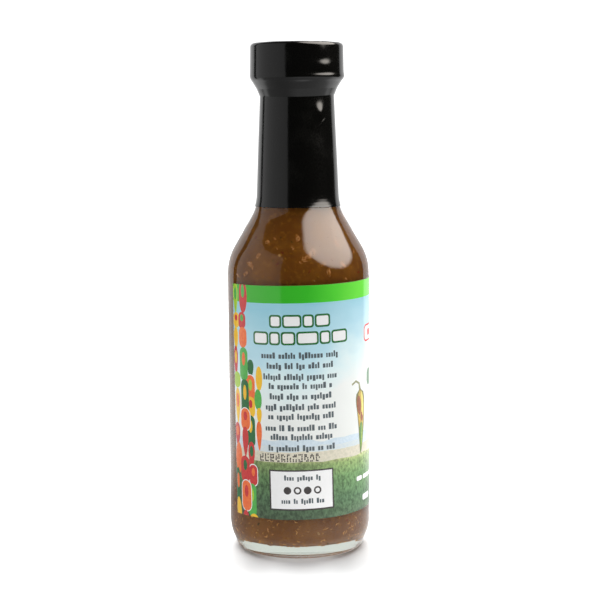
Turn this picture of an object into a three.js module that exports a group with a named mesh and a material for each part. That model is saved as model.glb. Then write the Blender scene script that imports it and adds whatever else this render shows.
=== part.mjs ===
// A small round glass bottle of hot sauce, with a wrap-round label, a screw cap and a black
// shrink band that seals the cap to the neck.
//
// Millimetres, +Z up. The bottle's axis is Z and its foot stands on z = 0. -Y is the side
// that shows the label's first third, with its left edge turning away at the left.

import * as THREE from "three";

// Driving dimensions of the glass. Every upright profile below is a list of corners, each
// [radius, height, fillet], from which the rounded outline is worked out.
const BODY_RADIUS = 23.3;
const WALL = 2.1;
const FLOOR_HEIGHT = 4.3;
const HEEL_RADIUS = 20.65;
const HEEL_FILLET = 1.2;
const HEEL_TOP_HEIGHT = 6.1;
const HEEL_TOP_FILLET = 14;
const CAVITY_FILLET = 5.5;
const FOOT_INNER_RADIUS = 15.6;
const PUSH_UP_HEIGHT = 1.3;
const PUSH_UP_RADIUS = 15;
const PUSH_UP_FILLET = 0.5;
const SHOULDER_HEIGHT = 95.7;
const SHOULDER_SLOPE = THREE.MathUtils.degToRad(30.4);
const SHOULDER_FILLET = 18;
const NECK_BASE_RADIUS = 13.3;
const NECK_FILLET = 16;
const NECK_TOP_RADIUS = 11.77;
const NECK_TOP_HEIGHT = 148.6;
const BOTTLE_HEIGHT = 163.4;
const MOUTH_RADIUS = 8.6;
const LIP_FILLET = 0.8;

// The sauce reaches up into the neck, behind the band.
const SAUCE_LEVEL = 141;
const SAUCE_GAP = 0.3;

// The cap is a plain cup over the bottle's mouth, a little wider at its skirt.
const CAP_TOP_RADIUS = 14.76;
const CAP_SKIRT_RADIUS = 14.95;
const CAP_SKIRT_HEIGHT = 155.4;
const CAP_TOP_HEIGHT = 165.1;
const CAP_EDGE_FILLET = 0.9;
const CAP_BORE_RADIUS = 12.8;
const CAP_LINER_GAP = 0.3;

// The shrink band's film follows the neck, bridges out to the cap's skirt over a slight crease,
// and folds a little way over the cap's top.
const FILM_GAP = 0.15;
const FILM_THICKNESS = 0.2;
const BAND_BOTTOM_HEIGHT = 112.9;
const BAND_FOLD_RADIUS = 12.4;
const BRIDGE_FOOT_HEIGHT = 148.5;
const BRIDGE_FOOT_FILLET = 1.6;
const CREASE_RADIUS = 12.8;
const CREASE_HEIGHT = 151;
const CREASE_FILLET = 0.8;
const BRIDGE_TOP_HEIGHT = 154.5;
const BRIDGE_TOP_FILLET = 3.5;

// The label is a rectangle that went on slightly crooked.
const LABEL_GAP = 0.15;
const LABEL_THICKNESS = 0.2;
const LABEL_LENGTH = 133.4;
const LABEL_HEIGHT = 75.3;
const LABEL_MIDDLE_HEIGHT = 51.4;
const LABEL_LEFT_EDGE = THREE.MathUtils.degToRad(-62.8);
const LABEL_TILT = THREE.MathUtils.degToRad(1.03);
const LABEL_TILT_CENTRE = THREE.MathUtils.degToRad(5);

const AROUND = 48;
const LABEL_AROUND = 44;
const FILLET_STEP = THREE.MathUtils.degToRad(15);

// The sloping shoulder meets the neck at this height.
const NECK_BASE_HEIGHT = SHOULDER_HEIGHT + (BODY_RADIUS - NECK_BASE_RADIUS) / Math.tan(SHOULDER_SLOPE);
// A wall's inner corner lies this much lower than its outer one, for each millimetre of wall.
const CORNER_DROP = Math.tan(SHOULDER_SLOPE / 2);

const clearGlass = new THREE.MeshStandardMaterial({
  color: 0xdfe9e4, roughness: 0.03, metalness: 0, transparent: true, opacity: 0.35,
});
const brownSauce = new THREE.MeshStandardMaterial({ color: 0x6b451d, roughness: 0.35, metalness: 0 });
const printedPaper = new THREE.MeshStandardMaterial({ color: 0xa9d3e2, roughness: 0.4, metalness: 0 });
const blackPlastic = new THREE.MeshStandardMaterial({ color: 0x111110, roughness: 0.3, metalness: 0 });
const blackFilm = new THREE.MeshStandardMaterial({ color: 0x0d0d0c, roughness: 0.12, metalness: 0 });

// Rounds each corner of an outline with an arc of its fillet, and returns the points.
function rounded(corners) {
  return corners.flatMap(([radius, height, fillet = 0], i) => {
    const corner = new THREE.Vector2(radius, height);
    const before = corners[i - 1];
    const after = corners[i + 1];
    if (!fillet || !before || !after) return [corner];
    const back = new THREE.Vector2(before[0], before[1]).sub(corner).normalize();
    const on = new THREE.Vector2(after[0], after[1]).sub(corner).normalize();
    const opening = Math.acos(THREE.MathUtils.clamp(back.dot(on), -1, 1));
    const middle = back.clone().add(on).normalize().multiplyScalar(fillet / Math.sin(opening / 2)).add(corner);
    const reach = fillet / Math.tan(opening / 2);
    const start = back.clone().multiplyScalar(reach).add(corner).sub(middle);
    const turn = Math.sign(back.cross(on)) * (Math.PI - opening);
    const steps = Math.max(1, Math.ceil(Math.abs(turn) / FILLET_STEP));
    return Array.from({ length: steps + 1 }, (_, k) => {
      const angle = (-turn * k) / steps;
      return start.clone().rotateAround(new THREE.Vector2(), angle).add(middle);
    });
  });
}

// The stretch of a rising outline that lies above a height.
function above(points, height) {
  const first = points.findIndex((p) => p.y > height);
  const low = points[first - 1];
  const high = points[first];
  const cut = low.clone().lerp(high, (height - low.y) / (high.y - low.y));
  return [cut, ...points.slice(first)];
}

// Turns an outline round the Z axis.
function turned(points) {
  return new THREE.LatheGeometry(points, AROUND).rotateX(Math.PI / 2);
}

// The glass: its foot and push-up, heel, body, shoulder and neck, then its inside back down.
function bottleOutline() {
  return rounded([
    [0, PUSH_UP_HEIGHT],
    [PUSH_UP_RADIUS, PUSH_UP_HEIGHT, PUSH_UP_FILLET],
    [FOOT_INNER_RADIUS, 0],
    [HEEL_RADIUS, 0, HEEL_FILLET],
    [BODY_RADIUS, HEEL_TOP_HEIGHT, HEEL_TOP_FILLET],
    [BODY_RADIUS, SHOULDER_HEIGHT, SHOULDER_FILLET],
    [NECK_BASE_RADIUS, NECK_BASE_HEIGHT, NECK_FILLET],
    [NECK_TOP_RADIUS, NECK_TOP_HEIGHT],
    [NECK_TOP_RADIUS, BOTTLE_HEIGHT, LIP_FILLET],
    [MOUTH_RADIUS, BOTTLE_HEIGHT, LIP_FILLET],
    ...cavityCorners(WALL, FLOOR_HEIGHT).reverse(),
  ]);
}

// The corners of the room inside the glass, from its floor up to the neck.
function cavityCorners(wall, floor) {
  return [
    [0, floor],
    [BODY_RADIUS - wall, floor, CAVITY_FILLET],
    [BODY_RADIUS - wall, SHOULDER_HEIGHT - wall * CORNER_DROP, SHOULDER_FILLET - wall],
    [NECK_BASE_RADIUS - wall, NECK_BASE_HEIGHT - wall * CORNER_DROP, NECK_FILLET],
    [NECK_TOP_RADIUS - wall, NECK_TOP_HEIGHT],
  ];
}

function sauceOutline() {
  const inset = WALL + SAUCE_GAP;
  const [axis, heel, shoulder, neck] = cavityCorners(inset, FLOOR_HEIGHT + SAUCE_GAP);
  const rise = (SAUCE_LEVEL - NECK_BASE_HEIGHT) / (NECK_TOP_HEIGHT - NECK_BASE_HEIGHT);
  const levelRadius = THREE.MathUtils.lerp(NECK_BASE_RADIUS, NECK_TOP_RADIUS, rise) - inset;
  return rounded([axis, heel, shoulder, neck, [levelRadius, SAUCE_LEVEL], [0, SAUCE_LEVEL]]);
}

function capOutline() {
  const ceiling = BOTTLE_HEIGHT + CAP_LINER_GAP;
  return rounded([
    [0, ceiling],
    [CAP_BORE_RADIUS, ceiling],
    [CAP_BORE_RADIUS, CAP_SKIRT_HEIGHT],
    [CAP_SKIRT_RADIUS, CAP_SKIRT_HEIGHT],
    [CAP_TOP_RADIUS, CAP_TOP_HEIGHT, CAP_EDGE_FILLET],
    [0, CAP_TOP_HEIGHT],
  ]);
}

// One face of the band's film, a distance out from the glass and the cap.
function filmFace(out) {
  const face = rounded([
    [BODY_RADIUS + out, SHOULDER_HEIGHT + out * CORNER_DROP],
    [NECK_BASE_RADIUS + out, NECK_BASE_HEIGHT + out * CORNER_DROP, NECK_FILLET - out],
    [NECK_TOP_RADIUS + out, BRIDGE_FOOT_HEIGHT, BRIDGE_FOOT_FILLET],
    [CREASE_RADIUS + out, CREASE_HEIGHT, CREASE_FILLET],
    [CAP_SKIRT_RADIUS + out, BRIDGE_TOP_HEIGHT, BRIDGE_TOP_FILLET],
    [CAP_TOP_RADIUS + out, CAP_TOP_HEIGHT + out, CAP_EDGE_FILLET + out],
    [BAND_FOLD_RADIUS, CAP_TOP_HEIGHT + out],
  ]);
  return above(face, BAND_BOTTOM_HEIGHT);
}

function bandOutline() {
  const outer = filmFace(FILM_GAP + FILM_THICKNESS);
  const inner = filmFace(FILM_GAP);
  return [...outer, ...inner.reverse(), outer[0].clone()];
}

// The label: a flat rectangle, turned by its tilt and bent round the body.
function labelGeometry() {
  const flat = new THREE.BoxGeometry(LABEL_LENGTH, LABEL_THICKNESS, LABEL_HEIGHT, LABEL_AROUND, 1, 1);
  const inner = BODY_RADIUS + LABEL_GAP;
  const left = LABEL_LEFT_EDGE * inner;
  const tiltCentre = LABEL_TILT_CENTRE * inner;
  const place = flat.getAttribute("position");
  for (let i = 0; i < place.count; i++) {
    const along = left + LABEL_LENGTH / 2 + place.getX(i) - tiltCentre;
    const up = place.getZ(i);
    const around = (tiltCentre + along * Math.cos(LABEL_TILT) - up * Math.sin(LABEL_TILT)) / inner;
    const height = LABEL_MIDDLE_HEIGHT + up * Math.cos(LABEL_TILT) + along * Math.sin(LABEL_TILT);
    const radius = inner + LABEL_THICKNESS / 2 - place.getY(i);
    place.setXYZ(i, radius * Math.sin(around), -radius * Math.cos(around), height);
  }
  return flat;
}

function piece(name, geometry, material) {
  const mesh = new THREE.Mesh(geometry, material);
  mesh.name = name;
  return mesh;
}

const bottle = new THREE.Group();
bottle.add(
  piece("glass_bottle", turned(bottleOutline()), clearGlass),
  piece("sauce", turned(sauceOutline()), brownSauce),
  piece("label", labelGeometry(), printedPaper),
  piece("cap", turned(capOutline()), blackPlastic),
  piece("shrink_band", turned(bandOutline()), blackFilm),
);

export default bottle;
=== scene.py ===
# %% [markdown]
# # A bottle of hot sauce, dressed in Blender
#
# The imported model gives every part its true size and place. This lesson adds what a plain model
# lacks: clear glass with sauce behind it, a printed label, and a shrunk film with its small dents.
# Each step first says what the piece is on the real bottle, how it could be made, and why this
# way was chosen.

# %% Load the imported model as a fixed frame
import math
import random

import bpy
from mathutils import Matrix, Quaternion, Vector, noise
from mathutils.geometry import delaunay_2d_cdt


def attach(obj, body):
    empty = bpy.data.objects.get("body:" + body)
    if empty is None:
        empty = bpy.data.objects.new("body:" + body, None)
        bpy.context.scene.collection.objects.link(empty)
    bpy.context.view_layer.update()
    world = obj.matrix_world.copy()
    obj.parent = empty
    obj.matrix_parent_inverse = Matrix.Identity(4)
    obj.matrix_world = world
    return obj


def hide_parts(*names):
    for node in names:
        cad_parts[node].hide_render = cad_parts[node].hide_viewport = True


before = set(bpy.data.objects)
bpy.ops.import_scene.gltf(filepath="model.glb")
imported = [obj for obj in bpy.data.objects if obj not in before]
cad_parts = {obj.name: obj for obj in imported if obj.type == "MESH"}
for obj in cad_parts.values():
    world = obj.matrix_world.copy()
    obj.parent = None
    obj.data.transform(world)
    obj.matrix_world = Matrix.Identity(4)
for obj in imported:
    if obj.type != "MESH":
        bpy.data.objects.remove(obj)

SCENE = bpy.context.scene
MM = 0.001
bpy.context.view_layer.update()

# %% [markdown]
# ## The camera
#
# The camera stands half a metre in front of the bottle, a little below the cap's top, and looks
# slightly down. A constraint could aim it at a target, but a fit to the bottle's outline and to
# the label's curves gave its place, lens and three small turns, so these are typed in. It leans
# by about half a degree, and so the bottle leans by as much in the picture.

# %% Camera
CAMERA_DISTANCE = 0.480
CAMERA_HEIGHT = 0.1389
CAMERA_PITCH = math.radians(-6.79)
CAMERA_YAW = math.radians(-0.06)
CAMERA_ROLL = math.radians(-0.42)
LENS_MM = 87.84


def add_camera():
    lens = bpy.data.cameras.new("camera")
    lens.lens = LENS_MM
    lens.clip_start = 0.01
    camera = bpy.data.objects.new("camera", lens)
    aim = Matrix.Rotation(CAMERA_YAW, 4, "Z")
    aim @= Matrix.Rotation(math.radians(90) + CAMERA_PITCH, 4, "X")
    aim @= Matrix.Rotation(CAMERA_ROLL, 4, "Z")
    camera.matrix_world = Matrix.Translation((0, -CAMERA_DISTANCE, CAMERA_HEIGHT)) @ aim
    SCENE.collection.objects.link(camera)
    SCENE.camera = camera
    return camera


camera = add_camera()
print("camera at", tuple(round(v, 3) for v in camera.matrix_world.translation))

# %% [markdown]
# ## Helpers for shader nodes
#
# A material is a small graph of nodes. It could be drawn by hand in the editor, but a script
# gives the same graph on each run. These helpers keep the graphs short to write: `place` adds a
# node, `feed` joins an output to a socket or types a number into it, and `calc` adds a Math node.

# %% Node helpers
def place(tree, kind, **settings):
    made = tree.nodes.new(kind)
    for name, value in settings.items():
        setattr(made, name, value)
    return made


def feed(tree, socket, value):
    if isinstance(value, bpy.types.NodeSocket):
        tree.links.new(value, socket)
    else:
        socket.default_value = value


def calc(tree, operation, *values):
    sum_node = place(tree, "ShaderNodeMath", operation=operation)
    for socket, value in zip(sum_node.inputs, values):
        feed(tree, socket, value)
    return sum_node.outputs[0]


def map_range(tree, value, low, high, start=0.0, end=1.0, curve="LINEAR"):
    """Carries the span from `low` to `high` over to the span from `start` to `end`."""
    ramp = place(tree, "ShaderNodeMapRange", interpolation_type=curve)
    names = ("Value", "From Min", "From Max", "To Min", "To Max")
    for name, number in zip(names, (value, low, high, start, end)):
        feed(tree, ramp.inputs[name], number)
    return ramp.outputs[0]


def soft_step(tree, value, low, high, start=0.0, end=1.0):
    return map_range(tree, value, low, high, start, end, "SMOOTHSTEP")


def blend_colours(tree, amount, first, second, mode="MIX"):
    mixer = place(tree, "ShaderNodeMix", data_type="RGBA", blend_type=mode)
    feed(tree, mixer.inputs[0], amount)
    feed(tree, mixer.inputs[6], first)
    feed(tree, mixer.inputs[7], second)
    return mixer.outputs[2]


def switch(tree, choice, yes, no):
    """A number that is `yes` where the choice is 1, and `no` where it is 0."""
    mixer = place(tree, "ShaderNodeMix", data_type="FLOAT")
    feed(tree, mixer.inputs[0], choice)
    feed(tree, mixer.inputs[2], no)
    feed(tree, mixer.inputs[3], yes)
    return mixer.outputs[0]


# %% Helpers for places and vectors
def object_spot(tree):
    return place(tree, "ShaderNodeTexCoord").outputs["Object"]


def split(tree, vector):
    """The x, y and z of a vector."""
    parts = place(tree, "ShaderNodeSeparateXYZ")
    feed(tree, parts.inputs[0], vector)
    return parts.outputs


def length_of(tree, vector):
    measured = place(tree, "ShaderNodeVectorMath", operation="LENGTH")
    feed(tree, measured.inputs[0], vector)
    return measured.outputs["Value"]


def level_length(tree, x, y):
    """The length of a vector's level part."""
    squares = [calc(tree, "POWER", side, 2.0) for side in (x, y)]
    return calc(tree, "SQRT", calc(tree, "ADD", *squares))


# %% [markdown]
# ## Colours and new materials
#
# The camera in this scene shows light as it is, with no film look over it, so that a colour
# measured on a screen can be aimed at. Shaders work in linear light, and `screen` turns a screen
# colour into it. A look such as Filmic is kinder to bright lights, but it would shift the label's
# colours. Each material starts from one Principled shader, whose plain numbers are typed in.

# %% Colour and material helpers
SCENE.view_settings.view_transform = "Standard"


def screen(red, green, blue, gain=1.0):
    """A screen colour from 0 to 255 as linear light, with an alpha of 1."""
    def linear(v):
        v /= 255
        return v / 12.92 if v <= 0.04045 else ((v + 0.055) / 1.055) ** 2.4
    return (*(min(1.0, linear(v) * gain) for v in (red, green, blue)), 1.0)


def new_material(name, **sockets):
    """A material with one Principled shader, whose plain numbers are typed into its sockets."""
    made = bpy.data.materials.new(name)
    made.use_nodes = True
    shader = made.node_tree.nodes["Principled BSDF"]
    for label, value in sockets.items():
        shader.inputs[label.replace("_", " ")].default_value = value
    return made, made.node_tree, shader


def add_bump(tree, shader, height, distance_mm, strength=1.0):
    bump = place(tree, "ShaderNodeBump")
    bump.inputs["Distance"].default_value = distance_mm * MM
    bump.inputs["Strength"].default_value = strength
    feed(tree, bump.inputs["Height"], height)
    feed(tree, shader.inputs["Normal"], bump.outputs[0])
    return bump


print("mid grey as linear light:", round(screen(128, 128, 128)[0], 3))

# %% [markdown]
# ## The white sweep and the left reflector
#
# The real studio has a white sweep behind the bottle and a large dim reflector at its left.
# Glossy film and glass mirror both, so each has to stand in the right direction. They could be
# glowing planes, but planes get in the picture when the camera moves. So the world shader draws
# them by direction alone: the azimuth and slope of a ray decide what it meets. The sweep reaches
# further round for rays that went through glass, which is what lights up the thick foot.

# %% Directions in the world
def direction_angles(tree):
    """Azimuth, 0 towards the camera and positive to the right, and the slope above level."""
    toward = place(tree, "ShaderNodeTexCoord").outputs["Generated"]
    x, y, z = split(tree, toward)
    azimuth = calc(tree, "ARCTAN2", x, calc(tree, "MULTIPLY", y, -1.0))
    across = calc(tree, "MAXIMUM", level_length(tree, x, y), 0.001)
    return azimuth, calc(tree, "DIVIDE", z, across)


# %% White sweep
BACKDROP_LIGHT = 1.15
BACKDROP_REFRACTED = 0.95
BACKDROP_RIGHT_EDGE = math.radians(128.5)
BACKDROP_LEFT_EDGE = math.radians(-129)
REFRACTED_RIGHT_EDGE = math.radians(98)
REFRACTED_LEFT_EDGE = math.radians(-119)
RIGHT_EDGE_BLUR = math.radians(4)
LEFT_EDGE_BLUR = math.radians(2)


def backdrop_light(tree, azimuth, refracted):
    """The sweep behind the bottle, wider and a little dimmer for rays from inside glass."""
    right_edge = switch(tree, refracted, REFRACTED_RIGHT_EDGE, BACKDROP_RIGHT_EDGE)
    left_edge = switch(tree, refracted, REFRACTED_LEFT_EDGE, BACKDROP_LEFT_EDGE)
    right = soft_step(tree, azimuth, right_edge, calc(tree, "ADD", right_edge, RIGHT_EDGE_BLUR))
    left = soft_step(tree, azimuth, left_edge, calc(tree, "SUBTRACT", left_edge, LEFT_EDGE_BLUR))
    level = switch(tree, refracted, BACKDROP_REFRACTED, BACKDROP_LIGHT)
    return calc(tree, "MULTIPLY", calc(tree, "ADD", right, left), level)


print("the sweep starts", round(math.degrees(BACKDROP_RIGHT_EDGE), 1), "degrees round to the right")

# %% Left reflector
REFLECTOR_LEFT_EDGE = math.radians(-119.5)
REFLECTOR_RIGHT_EDGE = math.radians(-28)
REFLECTOR_BLUR = math.radians(0.5)
REFLECTOR_FACING = math.radians(-63)
REFLECTOR_TOP_SLOPE = math.tan(math.radians(44))
REFLECTOR_TOP_BLUR = 0.01
REFLECTOR_LIGHT = (0.95, 0.56)


def reflector_light(tree, azimuth, slope):
    """An upright panel with a level top, brighter towards its left edge."""
    inside_left = soft_step(tree, azimuth, REFLECTOR_LEFT_EDGE, REFLECTOR_LEFT_EDGE + REFLECTOR_BLUR)
    inside_right = soft_step(tree, azimuth, REFLECTOR_RIGHT_EDGE, REFLECTOR_RIGHT_EDGE - REFLECTOR_BLUR)
    across = calc(tree, "COSINE", calc(tree, "SUBTRACT", azimuth, REFLECTOR_FACING))
    below_top = calc(tree, "SUBTRACT", calc(tree, "MULTIPLY", across, REFLECTOR_TOP_SLOPE), slope)
    under_top = soft_step(tree, below_top, -REFLECTOR_TOP_BLUR, REFLECTOR_TOP_BLUR)
    glow = map_range(tree, azimuth, REFLECTOR_LEFT_EDGE, REFLECTOR_RIGHT_EDGE, *REFLECTOR_LIGHT)
    inside = calc(tree, "MULTIPLY", inside_left, inside_right)
    return calc(tree, "MULTIPLY", inside, calc(tree, "MULTIPLY", under_top, glow))


reflector_span = math.degrees(REFLECTOR_RIGHT_EDGE - REFLECTOR_LEFT_EDGE)
print("the reflector spans", round(reflector_span, 1), "degrees")

# %% Paint the world
DARK_ROOM = 0.03
WHITE_SEEN = 1.6


def paint_world():
    world = bpy.data.worlds.new("studio")
    world.use_nodes = True
    tree = world.node_tree
    tree.nodes.clear()
    azimuth, slope = direction_angles(tree)
    path = place(tree, "ShaderNodeLightPath")
    backdrop = backdrop_light(tree, azimuth, path.outputs["Is Transmission Ray"])
    light = calc(tree, "ADD", backdrop, reflector_light(tree, azimuth, slope))
    light = calc(tree, "ADD", light, DARK_ROOM)
    seen = calc(tree, "MULTIPLY", path.outputs["Is Camera Ray"], WHITE_SEEN)
    shine = place(tree, "ShaderNodeBackground")
    feed(tree, shine.inputs["Strength"], calc(tree, "MAXIMUM", light, seen))
    out = place(tree, "ShaderNodeOutputWorld")
    feed(tree, out.inputs["Surface"], shine.outputs[0])
    return world


SCENE.world = paint_world()
print("world nodes:", len(SCENE.world.node_tree.nodes))

# %% [markdown]
# ## The pale floor
#
# The bottle stands on a white table that runs into the sweep, with a soft shadow round its foot.
# A plain lit plane would show its far edge, and the black film would mirror all of it. So this
# floor glows by its distance from the bottle, and asks the Light Path node what kind of ray meets
# it. The camera sees a white table with a painted shadow, a grey patch in its glow round the foot.
# Film and glass mirror a dimmer table that ends near the bottle. The sauce behind the glass gets an
# even light from below.

# %% Floor as the camera sees it
FLOOR_SIZE = 3.0
FLOOR_FRONT = 0.42
FLOOR_SEEN = 0.60
FLOOR_GLOW_REACH = (0.05, 0.20)
FLOOR_GLOW_SEEN = (0.36, 1.6)
# Painted shadow: this much glow is taken away at both sides of the foot.
FOOT_SHADE = 0.27
FOOT_SHADE_STARTS = (0.006, 0.017)
FOOT_SHADE_ENDS = (0.030, 0.055)


def seen_glow(tree, away, right):
    """The glow that the camera sees. It is less at both sides of the foot, as a painted shadow."""
    table = soft_step(tree, away, *FLOOR_GLOW_REACH, *FLOOR_GLOW_SEEN)
    aside = soft_step(tree, calc(tree, "ABSOLUTE", right), *FOOT_SHADE_STARTS)
    shade = calc(tree, "MULTIPLY", soft_step(tree, away, *FOOT_SHADE_ENDS, FOOT_SHADE, 0.0), aside)
    return calc(tree, "SUBTRACT", table, shade)


# %% Floor as film and glass mirror it
FLOOR_UNSEEN = 0.05
FLOOR_MIRRORED_REACH = (0.07, 0.19)
FLOOR_GLOW_MIRRORED = (0.38, 0.60)
FLOOR_LEFT_FADE = (-0.12, 0.03)
FLOOR_LEFT_SHARE = 0.48
FLOOR_NEAR_REACH = (0.05, 0.085)
FLOOR_NEAR_SIDES = (-0.03, 0.04)
FLOOR_NEAR_EXTRA = (0.10, 0.8)
FLOOR_BEHIND = (0.03, 0.11)
FLOOR_GLOW_BEHIND = 1.1
FLOOR_GLOW_REFRACTED = 1.4
FLOOR_EDGE = (0.30, 0.55)


def mirrored_glow(tree, away, right, back):
    """The glow that is mirrored: dim at the left, stronger near the foot and behind it."""
    front = calc(tree, "MULTIPLY", soft_step(tree, away, *FLOOR_MIRRORED_REACH, *FLOOR_GLOW_MIRRORED),
                 soft_step(tree, right, *FLOOR_LEFT_FADE, FLOOR_LEFT_SHARE, 1.0))
    near = calc(tree, "MULTIPLY", soft_step(tree, away, *FLOOR_NEAR_REACH, 1.0, 0.0),
                soft_step(tree, right, *FLOOR_NEAR_SIDES, *FLOOR_NEAR_EXTRA))
    front = calc(tree, "ADD", front, near)
    return switch(tree, soft_step(tree, back, *FLOOR_BEHIND), FLOOR_GLOW_BEHIND, front)


# %% Floor material and plane
def grey(level):
    return (level, level, level, 1)


def floor_material():
    """The camera sees all of the floor. For other rays it ends near the bottle."""
    made, tree, shader = new_material("pale_floor", Roughness=0.9, Specular_IOR_Level=0.0,
                                      Emission_Color=(1, 1, 1, 1))
    path = place(tree, "ShaderNodeLightPath")
    seen, refracted = path.outputs["Is Camera Ray"], path.outputs["Is Transmission Ray"]
    spot = object_spot(tree)
    away = length_of(tree, spot)
    right, back, _ = split(tree, spot)
    unseen = switch(tree, refracted, FLOOR_GLOW_REFRACTED, mirrored_glow(tree, away, right, back))
    glow = switch(tree, seen, seen_glow(tree, away, right), unseen)
    feed(tree, shader.inputs["Emission Strength"], glow)
    table = soft_step(tree, away, *FLOOR_EDGE, 1.0, 0.0)
    feed(tree, shader.inputs["Alpha"], calc(tree, "MAXIMUM", seen, table))
    tint = blend_colours(tree, seen, grey(FLOOR_UNSEEN), grey(FLOOR_SEEN))
    feed(tree, shader.inputs["Base Color"], tint)
    return made


def add_floor():
    half = FLOOR_SIZE / 2
    corners = [(-half, -FLOOR_FRONT, 0), (half, -FLOOR_FRONT, 0), (half, half, 0), (-half, half, 0)]
    mesh = bpy.data.meshes.new("floor")
    mesh.from_pydata(corners, [], [(0, 1, 2, 3)])
    mesh.materials.append(floor_material())
    floor = bpy.data.objects.new("floor", mesh)
    SCENE.collection.objects.link(floor)
    return floor


floor = add_floor()
print("floor is", FLOOR_SIZE, "m wide")

# %% [markdown]
# ## The round light
#
# One round soft light stands high on the right, and the bottle's shoulder mirrors it as a pale
# oval with a soft edge. An area lamp could light the scene just as well, but its mirror image has
# a hard edge. A glowing disc of mesh can fade towards its rim. It can also be weaker for rays
# that went through glass, so that the sauce isn't overlit.

# %% Directions and light linking
def direction(azimuth, elevation):
    level = math.cos(elevation)
    return Vector((math.sin(azimuth) * level, -math.cos(azimuth) * level, math.sin(elevation)))


def only_lights(light, receivers, spared=()):
    """Links a light to the objects that it may light, or spares some of them."""
    group = bpy.data.collections.new(light.name + "_linking")
    for item in (*receivers, *spared):
        group.objects.link(item)
    light.light_linking.receiver_collection = group
    for k, _ in enumerate(spared):
        group.collection_objects[len(receivers) + k].light_linking.link_state = "EXCLUDE"


print("straight to the right is", tuple(round(v, 1) for v in direction(math.radians(90), 0)))

# %% Glow of the round light
DISC_LIGHT = 7.0
DISC_LIGHT_THROUGH_GLASS = 0.47
DISC_COLOUR = (1.0, 0.935, 0.86, 1)
DISC_FADE = (0.74, 1.0)
DISC_MIDDLE = 1.15
DISC_DROP = 0.3


def glow_material():
    """The glow fades towards the rim, and is weaker for what lies behind glass."""
    made = bpy.data.materials.new("soft_glow")
    made.use_nodes = True
    tree = made.node_tree
    tree.nodes.clear()
    reach = length_of(tree, object_spot(tree))
    fade = soft_step(tree, reach, *DISC_FADE, 1.0, 0.0)
    drop_off = calc(tree, "MULTIPLY", DISC_DROP, calc(tree, "POWER", reach, 2.0))
    dome = calc(tree, "SUBTRACT", DISC_MIDDLE, drop_off)
    refracted = place(tree, "ShaderNodeLightPath").outputs["Is Transmission Ray"]
    level = switch(tree, refracted, DISC_LIGHT * DISC_LIGHT_THROUGH_GLASS, DISC_LIGHT)
    glow = place(tree, "ShaderNodeEmission")
    feed(tree, glow.inputs["Color"], DISC_COLOUR)
    feed(tree, glow.inputs["Strength"], calc(tree, "MULTIPLY", calc(tree, "MULTIPLY", fade, dome), level))
    out = place(tree, "ShaderNodeOutputMaterial")
    feed(tree, out.inputs["Surface"], glow.outputs[0])
    return made


# %% The disc itself
DISC_TOWARDS = direction(math.radians(78.2), math.radians(48.4))
DISC_DISTANCE = 4.0
DISC_RADIUS = DISC_DISTANCE * math.tan(math.radians(41.3))
BOTTLE_MIDDLE = Vector((0, 0, 0.11))
DISC_PLACE = BOTTLE_MIDDLE + DISC_TOWARDS * DISC_DISTANCE
DISC_STEPS = 96


def full_turn(steps):
    """The angles of equal steps once round."""
    return [math.tau * k / steps for k in range(steps)]


def add_disc():
    rim = [(math.cos(a), math.sin(a), 0) for a in full_turn(DISC_STEPS)]
    mesh = bpy.data.meshes.new("round_light")
    mesh.from_pydata(rim, [], [tuple(range(DISC_STEPS))])
    mesh.materials.append(glow_material())
    disc = bpy.data.objects.new("round_light", mesh)
    facing = DISC_TOWARDS.to_track_quat("Z", "Y").to_matrix().to_4x4()
    disc.matrix_world = Matrix.Translation(DISC_PLACE) @ facing @ Matrix.Scale(DISC_RADIUS, 4)
    SCENE.collection.objects.link(disc)
    disc.visible_camera = False
    disc.visible_shadow = False
    return disc


disc = add_disc()
print("round light at", tuple(round(v, 2) for v in disc.matrix_world.translation))

# %% [markdown]
# ## Three soft lamps
#
# What is left is done by area lamps that the camera can't see. A wash lightens the floor, and a
# weak fill lifts the sauce at the left. The label gets the round light once more, weaker and as a
# lamp of its own. One light for all could do, but with it either the sauce came out too dark or
# the label too bright. Light linking says what each lamp may light.

# %% Soft lamps
WASH_SIZE = 1.0
WASH_PLACE = (0, 0.42, 0.62)
WASH_WATTS = 30
FILL_TOWARDS = direction(math.radians(-68), math.radians(14))
FILL_DISTANCE = 0.9
FILL_SIZE = 0.7
FILL_WATTS = 3.3
LABEL_DISC_SHARE = 0.62


def add_lamp(name, size, watts, location, aimed_at):
    """A soft round lamp that no camera sees."""
    light = bpy.data.lights.new(name, "AREA")
    light.shape = "DISK"
    light.size = size
    light.energy = watts
    lamp = bpy.data.objects.new(name, light)
    lamp.location = location
    lamp.rotation_euler = (Vector(location) - Vector(aimed_at)).to_track_quat("Z", "Y").to_euler()
    SCENE.collection.objects.link(lamp)
    lamp.visible_camera = False
    return lamp


def add_wash():
    lamp = add_lamp("floor_wash", WASH_SIZE, WASH_WATTS, WASH_PLACE, (0, 0, 0))
    lamp.visible_glossy = False
    lamp.visible_transmission = False
    only_lights(lamp, (floor,))


def add_fill():
    place_of_fill = BOTTLE_MIDDLE + FILL_TOWARDS * FILL_DISTANCE
    lamp = add_lamp("left_fill", FILL_SIZE, FILL_WATTS, place_of_fill, BOTTLE_MIDDLE)
    lamp.visible_glossy = False
    only_lights(lamp, (), (floor,))


def add_label_light():
    """The round light once more, weaker, for the label alone."""
    watts = DISC_LIGHT * LABEL_DISC_SHARE * (math.pi * DISC_RADIUS) ** 2
    return add_lamp("label_light", 2 * DISC_RADIUS, watts, DISC_PLACE, BOTTLE_MIDDLE)


label_light = add_label_light()
add_wash()
add_fill()
print("the label's own light has", round(label_light.data.energy), "watts")

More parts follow.
